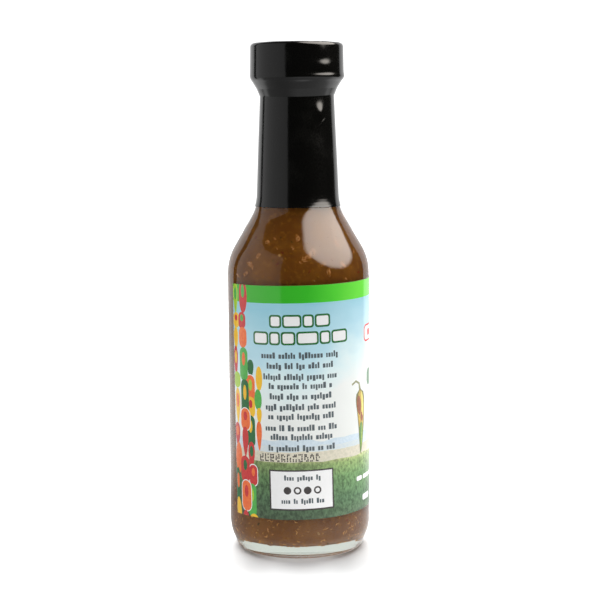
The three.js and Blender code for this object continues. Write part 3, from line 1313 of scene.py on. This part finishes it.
# %% [markdown]
# ## A scatter of coloured drops
#
# The left edge of the print is crowded with small coloured shapes. Placing each by hand would
# take long, so columns of drops, ovals and capsules are filled from the top down, with heights
# and inks drawn from a seeded generator. Some get a white rim or an inner oval.

# %% Scatter of drops
# Each column is (middle, width, top, bottom, share of places filled).
DROP_COLUMNS = (
    (1.6, 4.2, HALF, -HALF, 1.0), (8.7, 4.0, 11.0, -HALF, 0.9), (12.0, 3.0, 9.0, -11.0, 0.75),
    (5.6, 4.4, HALF, -HALF, 0.95),
)
DROP_COLOURS = ("red", "orange", "yellow", "lime", "mid_green", "dark_green", "red", "orange", "yellow")


def drop_column(u, width, top, bottom, fill, chance):
    v = top + chance.uniform(0, 3)
    while v > bottom:
        height = chance.uniform(5.0, 12.5)
        middle, side = v - height / 2, chance.uniform(-0.4, 0.4)
        if chance.random() < fill:
            ink = chance.choice(DROP_COLOURS)
            shape = chance.choice((capsule, drop, oval))
            half = width / 2 * chance.uniform(0.8, 1.0)
            if chance.random() < 0.3:
                print_shape("white_ink", shape(u + side, middle, half + 0.3, height / 2 + 0.3))
            print_shape(ink, shape(u + side, middle, half, height / 2))
            if chance.random() < 0.55:
                inner = chance.choice([c for c in DROP_COLOURS if c != ink])
                print_shape(inner, oval(u + side, middle + 0.15 * height, half * 0.42, height * 0.2))
        v -= height * chance.uniform(0.75, 1.0)


scatter_chance = random.Random(21)
for column in DROP_COLUMNS:
    drop_column(*column, scatter_chance)
print("label shapes so far:", len(shapes))

# %% [markdown]
# ## Chillies and the label's front
#
# Right of the text hangs a chilli that ripens from green through yellow to red. Curves with
# thickness could draw it, but the sheet is cut from flat outlines, so it is built of bands, each
# along a path with a half-width at each point. Round the side, out of the camera's sight, the
# print goes on: bars for a front panel, a second chilli, a framed table and a block of stripes.

# %% Chilli
CHILLI_STALK = ((-0.19, 0.08), (-0.1, 0.12), (-0.02, 0.08))
STALK_WIDTHS = (0.3, 0.35, 0.4, 0.6)
# Each strip is (ink, start and end as shares of the length, share of the width, shift sideways).
CHILLI_STRIPS = (
    ("pepper_edge", 0.0, 1.0, 1.0, 0.0), ("pepper_yellow", 0.02, 0.7, 0.84, 0.0),
    ("pepper_green", 0.5, 0.98, 0.8, 0.0), ("pepper_red", 0.1, 0.4, 0.5, -0.2),
    ("pepper_red", 0.36, 0.5, 0.4, 0.1), ("pepper_light", 0.04, 0.42, 0.2, 0.24),
    ("pepper_lime", 0.55, 0.9, 0.24, 0.18),
)
STRIP_STEPS = 14


def chilli(u, v, long, wide, lean=0.0):
    """A plain chilli that hangs from its stalk."""
    stalk = [(u + du * long, v + dv * long) for du, dv in CHILLI_STALK]
    stalk.append((u + 0.02 * wide, v - 0.03 * long))
    print_shape("stalk", leaf(stalk, STALK_WIDTHS))
    for ink, start, end, scale, shift in CHILLI_STRIPS:
        spots, halves = [], []
        for k in range(STRIP_STEPS + 1):
            t = start + (end - start) * k / STRIP_STEPS
            plump = math.sqrt(1 - (1 - min(t / 0.22, 1)) ** 2) * (1 - t) ** 0.7
            round_end = math.sin(math.pi * k / STRIP_STEPS) ** 0.5 if scale < 0.95 else 1.0
            sway = 0.03 * long * math.sin(math.pi * t)
            spots.append((u + lean * t + sway + shift * wide * plump, v - long * t))
            halves.append(wide / 2 * scale * plump * round_end + 0.02)
        print_shape(ink, leaf(spots, halves))


# %% Front of the label
FRONT_MIDDLE = 69.5

chilli(49.0, 2.6, 22.0, 6.2)
print_shape("red_rim", block(52.3, 17.2, 86.7, 22.9, 1.6))
print_shape("white_ink", block(52.9, 17.8, 86.1, 22.3, 1.2))
bar_line("red_rim", FRONT_MIDDLE, 20.05, 28.0, 81, height=2.2, gap=1.4, words=(4, 9))
for n, (v, width, height) in enumerate(((5.3, 30.0, 5.6), (-3.0, 24.0, 4.6))):
    bar_line("title_rim", FRONT_MIDDLE, v, width, 83 + n, height=height, gap=1.4, words=(5, 9))
bar_line("white_ink", 66.0, -27.0, 39.0, 85, height=1.5, words=(2.5, 6))
bar_line("white_ink", 68.0, -33.9, 38.0, 86, height=2.0, gap=1.2, words=(3, 6))
chilli(90.5, 3.0, 21.0, 6.4, lean=1.0)
print("label shapes so far:", len(shapes))

# %% Table and stripes
TABLE = (101.0, -33.0, 119.0, 28.5)
STRIPES = (121.5, -33.0, 131.5, -8.0)
SIDE_MIDDLE = 126.5


def facts_panel():
    """A framed table of bars between lines, each fifth line thick."""
    u0, foot, u1, top = TABLE
    framed(*TABLE, 0.4)
    bar_line("frame_ink", (u0 + u1) / 2, top - 2.6, 15.5, 90, height=2.0, gap=0.9, words=(5, 8))
    v = top - 6.2
    n = 0
    while v > foot + 3:
        thick = 1.1 if n % 5 == 0 else 0.28
        print_shape("frame_ink", block(u0 + 1.2, v - thick, u1 - 1.2, v))
        v -= thick + 0.9
        bar_line("dark_text", u0 + 6.2, v - 0.45, 9.0, 91 + n, height=0.9)
        print_shape("dark_text", block(u1 - 4.2, v - 0.9, u1 - 1.6, v, 0.2))
        v -= 2.2
        n += 1


def stripes():
    """A white block with level stripes of mixed thickness."""
    u0, v0, u1, v1 = STRIPES
    print_shape("white_ink", block(*STRIPES))
    chance = random.Random(5)
    v = v0 + 1.5
    while v < v1 - 1.5:
        thick = chance.choice((0.25, 0.5, 0.75))
        print_shape("frame_ink", block(u0 + 1.2, v, u1 - 1.2, v + thick))
        v += thick + chance.choice((0.3, 0.55, 0.8))


facts_panel()
stripes()
for n in range(9):
    bar_line("dark_text", SIDE_MIDDLE, 28.0 - 3.0 * n, 9.5, 120 + n, height=1.0)
print("label shapes in all:", len(shapes))

# %% [markdown]
# ## Cutting the sheet
#
# All the outlines now go into one triangulation, with a fine grid of upright and level lines, so
# that the sheet can bend smoothly. Stacked sheets could do without the cut, but sheets so close
# together flicker. The cut gives one sheet, in which each triangle knows the shapes that cover it.

# %% Cut the sheet into inked triangles
STRIP_WIDTH = 0.8
LEVEL_LINES = 8
# Small offsets keep the grid off the corners of the shapes.
GRID_OFFSET_U = 0.0007
GRID_OFFSET_V = 0.0011
CUT_NEAR = 1e-4


def add_line(points, edges, start, end):
    points += [Vector(start), Vector(end)]
    edges.append((len(points) - 2, len(points) - 1))


def constraint_grid(points, edges):
    count = round(LABEL_LENGTH / STRIP_WIDTH)
    for k in range(1, count):
        u = LABEL_LENGTH * k / count + GRID_OFFSET_U
        add_line(points, edges, (u, -HALF), (u, HALF))
    for k in range(1, LEVEL_LINES):
        v = -HALF + LABEL_HEIGHT * k / LEVEL_LINES + GRID_OFFSET_V
        add_line(points, edges, (0, v), (LABEL_LENGTH, v))


def cut_sheet():
    points, edges, faces = [], [], []
    for _, outline in shapes:
        faces.append(list(range(len(points), len(points) + len(outline))))
        points += [Vector(p) for p in outline]
    constraint_grid(points, edges)
    spots, _, triangles, _, _, owners = delaunay_2d_cdt(points, edges, faces, 1, CUT_NEAR, True)
    return spots, triangles, [shapes[max(owner)][0] if owner else "sky" for owner in owners]


label_spots, label_triangles, label_inks = cut_sheet()
print("label sheet:", len(label_spots), "points and", len(label_triangles), "triangles")

# %% [markdown]
# ## Inks
#
# The print is varnished: dull colour under a thin clear coat that mirrors the lights. One rough
# glossy layer could do for both, but then dark inks would turn milky. So each ink is a colour
# without its own sheen, with a coat over it. Most inks are a mottle of two near tones. Sky, grass
# and green band change along the label, so each of them has a ramp of colours instead. These three
# also carry painted light: they are lighter or paler to the right, where the round light falls,
# and the band is paler at its left end, a painted reflection of the reflector.

# %% Ink helpers
PRINT_LIGHT = 0.80
COAT = {"Coat_Weight": 1.0, "Coat_Roughness": 0.12, "Coat_IOR": 1.65}


def printed(red, green, blue):
    """The ink's own colour, from the screen colour that it shows when lit."""
    return screen(red, green, blue, 1 / PRINT_LIGHT)


def varnished_ink(name, colour_of):
    """An ink whose colour comes from a function that adds nodes, with fibres and varnish."""
    made, tree, shader = new_material("ink_" + name, Specular_IOR_Level=0.0, **COAT)
    feed(tree, shader.inputs["Base Color"], colour_of(tree))
    marks = use_group(tree, HANDLING_MARKS, Clean=0.38, Dulled=0.5, Size=6.0)
    feed(tree, shader.inputs["Roughness"], marks["Roughness"])
    fibres = use_group(tree, GRAIN, Size=0.5, Stretch=(1, 1, 0.6))
    add_bump(tree, shader, fibres["Height"], 0.006)
    return made


def ramp_of(tree, steps, value):
    """A colour that changes with a value. The steps are pairs of a value and a screen colour."""
    ramp = place(tree, "ShaderNodeValToRGB")
    low, high = steps[0][0], steps[-1][0]
    while len(ramp.color_ramp.elements) < len(steps):
        ramp.color_ramp.elements.new(0.5)
    for element, (step, colour) in zip(ramp.color_ramp.elements, steps):
        element.position = (step - low) / (high - low)
        element.color = printed(*colour)
    feed(tree, ramp.inputs[0], map_range(tree, value, low, high))
    return ramp.outputs[0]


def drifted(tree, value, spot, size, detail, reach):
    """A value moved up and down by slow noise, so that a ramp's edges wander."""
    drift = calc(tree, "SUBTRACT", noise_at(tree, spot, size, detail, 0.5), 0.5)
    return calc(tree, "ADD", value, calc(tree, "MULTIPLY", drift, reach))


# %% Plain inks
# Each ink has a light and a dark tone, as screen colours from 0 to 255.
INKS = {
    "far_hill": ((203, 216, 224), (190, 206, 216)),
    "near_hill": ((196, 208, 214), (206, 214, 214)),
    "sand": ((214, 207, 189), (196, 192, 172)),
    "dark_text": ((72, 81, 86), (82, 92, 96)),
    "code_ink": ((45, 42, 40), (60, 56, 52)),
    "title_rim": ((42, 92, 52), (50, 106, 60)),
    "white_ink": ((229, 229, 228), (233, 233, 232)),
    "frame_ink": ((52, 47, 46), (60, 55, 54)),
    "red_rim": ((206, 60, 60), (196, 50, 52)),
    "red": ((198, 60, 58), (186, 50, 52)),
    "orange": ((232, 120, 62), (222, 100, 54)),
    "yellow": ((240, 190, 50), (232, 176, 46)),
    "lime": ((166, 200, 62), (150, 190, 58)),
    "mid_green": ((86, 172, 78), (76, 160, 74)),
    "dark_green": ((46, 108, 62), (40, 96, 56)),
    "stalk": ((150, 148, 110), (110, 116, 90)),
    "pepper_edge": ((112, 100, 50), (92, 96, 52)),
    "pepper_green": ((98, 136, 62), (70, 112, 52)),
    "pepper_yellow": ((196, 170, 74), (172, 140, 62)),
    "pepper_red": ((120, 62, 40), (146, 86, 46)),
    "pepper_light": ((238, 224, 120), (226, 210, 104)),
    "pepper_lime": ((164, 186, 84), (140, 170, 76)),
    "paper": ((220, 222, 216), (205, 206, 198)),
}


def two_tones(tree, light, dark):
    tones = {"First": printed(*light), "Second": printed(*dark)}
    return use_group(tree, MOTTLE, **tones, Size=0.9, Low=0.3, High=0.7)["Color"]


ink_materials = {}
for name, (light, dark) in INKS.items():
    ink_materials[name] = varnished_ink(name, lambda tree: two_tones(tree, light, dark))
print("plain inks:", len(ink_materials))

# %% Inks that change along the label
# The steps are in millimetres: to the right of the middle for the band, above the foot for others.
# The band's ramp holds painted light: paler at the left end, a painted reflection of the reflector, and
# lighter at the right, painted light of the round light.
BAND_STEPS = ((-22.0, (64, 166, 48)), (-5.0, (53, 168, 40)), (3.0, (54, 172, 40)), (11.0, (78, 194, 53)),
              (19.0, (106, 210, 69)))
SKY_STEPS = ((30.0, (222, 224, 220)), (48.0, (226, 229, 226)), (58.0, (212, 230, 233)),
             (67.0, (176, 212, 224)), (76.0, (156, 201, 214)), (84.0, (140, 193, 209)))
GRASS_STEPS = ((14.0, (62, 80, 58)), (20.0, (68, 94, 66)), (27.0, (84, 114, 72)), (31.5, (112, 132, 82)),
               (33.5, (158, 160, 114)))


# Painted light and reflection: the band's colour follows its ramp from left to right across the bottle.
def band_colour(tree):
    right, _, _ = split(tree, millimetres(tree))
    return ramp_of(tree, BAND_STEPS, drifted(tree, right, millimetres(tree), 5.0, 2.0, 3.0))


def sky_colour(tree):
    """Pale near the hills and bluer above. The blue comes lower down at the left, and the paler sky to the
    right is a painted sheen of the round light.
    """
    right, _, up = split(tree, millimetres(tree))
    height = drifted(tree, up, millimetres(tree, (1, 1, 1.6)), 14.0, 3.0, 16.0)
    # Painted sheen: towards the right the sky moves to its paler tones.
    height = calc(tree, "SUBTRACT", height, soft_step(tree, right, 0.0, 17.0, 0.0, 9.0))
    return ramp_of(tree, SKY_STEPS, height)


def grass_colour(tree):
    """Tufts of lighter and darker green. Painted light makes the grass lighter to the right."""
    right, _, up = split(tree, millimetres(tree))
    tufts = noise_at(tree, millimetres(tree, (1, 1, 0.7)), 1.1, 4.0, 0.7)
    shade = soft_step(tree, tufts, 0.32, 0.68, 0.55, 1.5)
    # Painted light: the grass is made lighter to the right, where the round light falls.
    shade = calc(tree, "MULTIPLY", shade, soft_step(tree, right, 0.0, 19.0, 1.0, 1.45))
    scaled = place(tree, "ShaderNodeVectorMath", operation="SCALE")
    feed(tree, scaled.inputs[0], ramp_of(tree, GRASS_STEPS, up))
    feed(tree, scaled.inputs["Scale"], shade)
    return scaled.outputs[0]


for name, colour_of in (("band_green", band_colour), ("sky", sky_colour), ("grass", grass_colour)):
    ink_materials[name] = varnished_ink(name, colour_of)
print("inks in all:", len(ink_materials))

# %% [markdown]
# ## Bending the sheet round the bottle
#
# The flat sheet becomes a label: a printed outside, a plain inside a tenth of a millimetre
# nearer to the glass, and a thin rim between them. A Shrinkwrap modifier could lay it on the
# glass, but a sum is exact and keeps the label's small tilt. The normals are those of a true
# cylinder, because small triangles would otherwise show as facets in the varnish.

# %% Bent points and the rim
PAPER_INSIDE = 0.03
PAPER_THICKNESS = 0.12
EDGE_NEAR = 1e-3


def bent(u, v, radius):
    """A point of the flat label, placed on a cylinder of the given radius."""
    start = LABEL_LEFT_EDGE * LABEL_WRAP_RADIUS
    centre = LABEL_TILT_CENTRE * LABEL_WRAP_RADIUS
    along = start + u - centre
    around = (centre + along * math.cos(LABEL_TILT) - v * math.sin(LABEL_TILT)) / LABEL_WRAP_RADIUS
    height = LABEL_MIDDLE_HEIGHT + v * math.cos(LABEL_TILT) + along * math.sin(LABEL_TILT)
    return Vector((radius * math.sin(around), -radius * math.cos(around), height)) * MM


def along_edge(spots, is_on_edge, order):
    on_edge = (p for p, spot in enumerate(spots) if is_on_edge(spot))
    return sorted(on_edge, key=lambda p: order(spots[p]))


def rim_loop(spots):
    """The points on the sheet's four edges, in order round it."""
    foot = along_edge(spots, lambda spot: spot.y < EDGE_NEAR - HALF, lambda spot: spot.x)
    right = along_edge(spots, lambda spot: spot.x > LABEL_LENGTH - EDGE_NEAR, lambda spot: spot.y)
    top = along_edge(spots, lambda spot: spot.y > HALF - EDGE_NEAR, lambda spot: -spot.x)
    left = along_edge(spots, lambda spot: spot.x < EDGE_NEAR, lambda spot: -spot.y)
    loop = []
    for p in foot + right + top + left:
        if not loop or p != loop[-1]:
            loop.append(p)
    return loop[:-1] if loop[0] == loop[-1] else loop


print("the label's rim has", len(rim_loop(label_spots)), "points")

# %% Build the label
def label_faces(names):
    """The printed outside, the plain inside and the rim, each as (corners, material, facing)."""
    count = len(label_spots)
    plain = names.index("paper")
    for triangle, ink in zip(label_triangles, label_inks):
        yield tuple(triangle), names.index(ink), 1
        yield tuple(count + p for p in triangle[::-1]), plain, -1
    for a, b in pairs_round(rim_loop(label_spots)):
        yield (b, a, count + a, count + b), plain, 0


def cylinder_normals(mesh, facings):
    """Normals straight out or in for the two faces. The rim keeps its own."""
    normals = []
    for polygon, facing in zip(mesh.polygons, facings):
        for p in polygon.vertices:
            spot = mesh.vertices[p].co
            out = Vector((spot.x, spot.y, 0)).normalized()
            normals.append(out * facing if facing else polygon.normal.copy())
    mesh.normals_split_custom_set(normals)


def build_label():
    inside = BODY_RADIUS + PAPER_INSIDE
    points = [bent(*spot, radius) for radius in (inside + PAPER_THICKNESS, inside) for spot in label_spots]
    names = list(dict.fromkeys(label_inks)) + ["paper"]
    faces, inks, facings = zip(*label_faces(names))
    mesh = bpy.data.meshes.new("label_paper")
    mesh.from_pydata(points, [], faces)
    for name in names:
        mesh.materials.append(ink_materials[name])
    mesh.polygons.foreach_set("material_index", inks)
    mesh.shade_smooth()
    cylinder_normals(mesh, facings)
    made = bpy.data.objects.new("label_paper", mesh)
    SCENE.collection.objects.link(made)
    return made


label = build_label()
settle(label, None, "printed_label", "label")
only_lights(disc, (), (floor, label))
only_lights(label_light, (label,))

# %% [markdown]
# ## The cap
#
# The screw cap is satin black plastic. The film covers its side and the rim of its top, so only
# the middle of the top is bare: a shallow dish with a gate mark in its centre, where the plastic
# was let into the mould. A cylinder with a bevel would be enough for the side, but the dish needs
# an outline, so it is turned like the glass. Handling marks dull its shine in patches.

# %% Cap
CAP_TOP_RADIUS = 14.76
CAP_SKIRT_RADIUS = 14.95
CAP_SKIRT_HEIGHT = 155.4
CAP_TOP_HEIGHT = 165.1
CAP_EDGE_FILLET = 0.9
CAP_BORE_RADIUS = 12.8
CAP_LINER_GAP = 0.3
CAP_DISH_RADIUS = 11.2
CAP_DISH_DEPTH = 0.25
CAP_DISH_SLOPE = 0.5
CAP_SMALL_FILLET = 0.4
GATE_RADII = (2.6, 1.8)
GATE_DEPTH = 0.12
CAP_AROUND = 128
CAP_STEP = 2.0


def cap_outline():
    ceiling = BOTTLE_HEIGHT + CAP_LINER_GAP
    dish = CAP_TOP_HEIGHT - CAP_DISH_DEPTH
    return finer(rounded([
        (0, ceiling),
        (CAP_BORE_RADIUS, ceiling, CAP_SMALL_FILLET),
        (CAP_BORE_RADIUS, CAP_SKIRT_HEIGHT),
        (CAP_SKIRT_RADIUS, CAP_SKIRT_HEIGHT),
        (CAP_TOP_RADIUS, CAP_TOP_HEIGHT, CAP_EDGE_FILLET),
        (CAP_DISH_RADIUS, CAP_TOP_HEIGHT, CAP_SMALL_FILLET),
        (CAP_DISH_RADIUS - CAP_DISH_SLOPE, dish, CAP_SMALL_FILLET),
        (GATE_RADII[0], dish, CAP_SMALL_FILLET),
        (GATE_RADII[1], dish - GATE_DEPTH, CAP_SMALL_FILLET),
        (0, dish - GATE_DEPTH),
    ]), CAP_STEP)


def plastic_material():
    made, tree, shader = new_material("black_plastic", Specular_IOR_Level=0.5)
    marks = use_group(tree, HANDLING_MARKS, Clean=0.28, Dulled=0.42, Size=5.0)
    feed(tree, shader.inputs["Roughness"], marks["Roughness"])
    tint = blend_colours(tree, marks["Mask"], (0.012, 0.012, 0.012, 1), (0.022, 0.022, 0.021, 1))
    feed(tree, shader.inputs["Base Color"], tint)
    add_bump(tree, shader, use_group(tree, GRAIN, Size=0.25)["Height"], 0.012)
    return made


cap = turn("screw_cap", cap_outline(), CAP_AROUND)
settle(cap, plastic_material(), "black_plastic", "cap")

# %% [markdown]
# ## The shrink band
#
# Heat has drawn a sleeve of glossy black film tight round the cap and the neck. It bridges from
# the cap's skirt in to the neck, and folds over the cap's rim. A cloth simulation could shrink a
# sleeve, but the dents would fall where they like. Here the film follows an outline, a few
# tenths of a millimetre out from the glass and the cap, and down again on the inside.

# %% Film outline
FILM_INSIDE = 0.05
FILM_OUTSIDE = 0.30
FILM_LIP = 0.28
FILM_STEP = 0.35
BAND_BOTTOM_HEIGHT = 112.9
BAND_TAPER = 0.3
BAND_FOLD_RADIUS = 12.4
BRIDGE_TOP_HEIGHT = 154.5
BRIDGE_TOP_FILLET = 3.5
CREASE_RADIUS = 12.8
CREASE_HEIGHT = 151.0
CREASE_FILLET = 0.8
BRIDGE_FOOT_HEIGHT = 148.5
BRIDGE_FOOT_FILLET = 1.6


def above(points, height):
    """The stretch of a rising outline that lies above a height."""
    first = next(k for k, p in enumerate(points) if p[1] > height)
    low, high = points[first - 1], points[first]
    t = (height - low[1]) / (high[1] - low[1])
    return [(low[0] + (high[0] - low[0]) * t, height)] + points[first:]


def film_face(out):
    corners = [
        (BODY_RADIUS + out, SHOULDER_HEIGHT + out * CORNER_DROP),
        (NECK_BASE_RADIUS + out, NECK_BASE_HEIGHT + out * CORNER_DROP, NECK_FILLET - out),
        (NECK_TOP_RADIUS + out, BRIDGE_FOOT_HEIGHT, BRIDGE_FOOT_FILLET),
        (CREASE_RADIUS + out, CREASE_HEIGHT, CREASE_FILLET),
        (CAP_SKIRT_RADIUS + out, BRIDGE_TOP_HEIGHT, BRIDGE_TOP_FILLET),
        (CAP_TOP_RADIUS + out, CAP_TOP_HEIGHT + out, CAP_EDGE_FILLET + out),
        (BAND_FOLD_RADIUS, CAP_TOP_HEIGHT + out),
    ]
    return finer(above(rounded(corners), BAND_BOTTOM_HEIGHT), FILM_STEP)


def smooth(t):
    t = min(1.0, max(0.0, t))
    return t * t * (3 - 2 * t)


def film_outline():
    """Up the outside and down the inside. The outside thins to a fine lip at the bottom."""
    thin = FILM_OUTSIDE - FILM_LIP
    outside = [(r - thin * (1 - smooth((z - BAND_BOTTOM_HEIGHT) / BAND_TAPER)), z)
               for r, z in film_face(FILM_OUTSIDE)]
    return outside + film_face(FILM_INSIDE)[::-1]


print("the film outline has", len(film_outline()), "points")

# %% [markdown]
# ## Dents and beads in the film
#
# Where the film shrank unevenly it has small bulges, and each one catches the round light as a
# bright spot. They could be sculpted, but a list of soft bumps can be corrected by numbers. Each
# has a place, a width, a height and a lift. Two beads run round the skirt's lower edge,
# strongest at the front right, and the bridge below them sags a little at the front. A slow
# noise makes the long reflections wander.

# %% Film bumps
FILM_RADIUS = 13.5

# Each bump is (azimuth, height, half width round, half width up, lean, lift), in millimetres.
FILM_BUMPS = (
    (math.radians(34), 157.9, 2.5, 1.05, 0.0, 0.245),
    (math.radians(31), 162.6, 1.3, 1.6, 0.0, 0.15),
    (math.radians(36), 143.0, 1.35, 1.6, 0.0, 0.42),
    (math.radians(42), 140.2, 0.35, 1.1, 1.1, 0.16),
)
# The film bulges over the skirt's lower edge, most at the front right: (height, half width, lift).
SKIRT_BEADS = ((154.55, 0.68, 0.29), (153.7, 0.16, 0.04))
BEAD_AZIMUTH = math.radians(55)
# The bridge sags a little at the front, and more at the left than at the right.
BRIDGE_SAG = (0.5, 0.13)


def bump_lift(height, angle):
    lift = 0.0
    for azimuth, middle, wide, tall, lean, rise in FILM_BUMPS:
        turn_by = (angle - azimuth + math.pi) % math.tau - math.pi
        up = height - middle
        across = turn_by * FILM_RADIUS - lean * up
        lift += rise * math.exp(-((across / wide) ** 2 + (up / tall) ** 2) / 2)
    strength = 0.55 + 0.45 * math.cos(angle - BEAD_AZIMUTH)
    for middle, tall, rise in SKIRT_BEADS:
        lift += strength * rise * math.exp(-(((height - middle) / tall) ** 2) / 2)
    return lift


print("film bumps and beads:", len(FILM_BUMPS) + len(SKIRT_BEADS))

# %% Film material and piece
FILM_AROUND = 248
FILM_WANDER = 0.035
FOLD_WANDER = 0.35
FOLD_STARTS = CAP_TOP_HEIGHT + 0.1
BRIDGE_SPAN = (145, 159)
BRIDGE_EASE = 3


def film_push(radius, height, angle):
    """The bumps, the sag and the wander of one point. The folded edge wanders more."""
    right, front = math.sin(angle), math.cos(angle)
    if height > FOLD_STARTS:
        return radius + FOLD_WANDER * noise.noise(Vector((right * 3, front * 3, 0))), height
    wander = FILM_WANDER * (noise.noise(Vector((right * 1.6, front * 1.6, height / 14))) - 0.3)
    rise, fall = height - BRIDGE_SPAN[0], BRIDGE_SPAN[1] - height
    in_bridge = smooth(rise / BRIDGE_EASE) * smooth(fall / BRIDGE_EASE)
    sag = BRIDGE_SAG[0] * front - BRIDGE_SAG[1] * right
    loose = smooth((height - BAND_BOTTOM_HEIGHT) / BAND_TAPER)
    return radius + bump_lift(height, angle) + wander * loose, height - sag * in_bridge


def film_material():
    made, tree, shader = new_material("black_film", Specular_IOR_Level=0.5, IOR=1.5)
    marks = use_group(tree, HANDLING_MARKS, Clean=0.12, Dulled=0.17, Size=7.0)
    feed(tree, shader.inputs["Roughness"], marks["Roughness"])
    tint = blend_colours(tree, marks["Mask"], (0.0014, 0.0014, 0.0012, 1), (0.0026, 0.0026, 0.0023, 1))
    feed(tree, shader.inputs["Base Color"], tint)
    add_bump(tree, shader, use_group(tree, GRAIN, Size=1.1, Stretch=(1, 1, 0.6))["Height"], 0.012)
    return made


band = turn("shrink_film", film_outline(), FILM_AROUND, film_push, closed=True)
settle(band, film_material(), "black_film", "shrink_band")
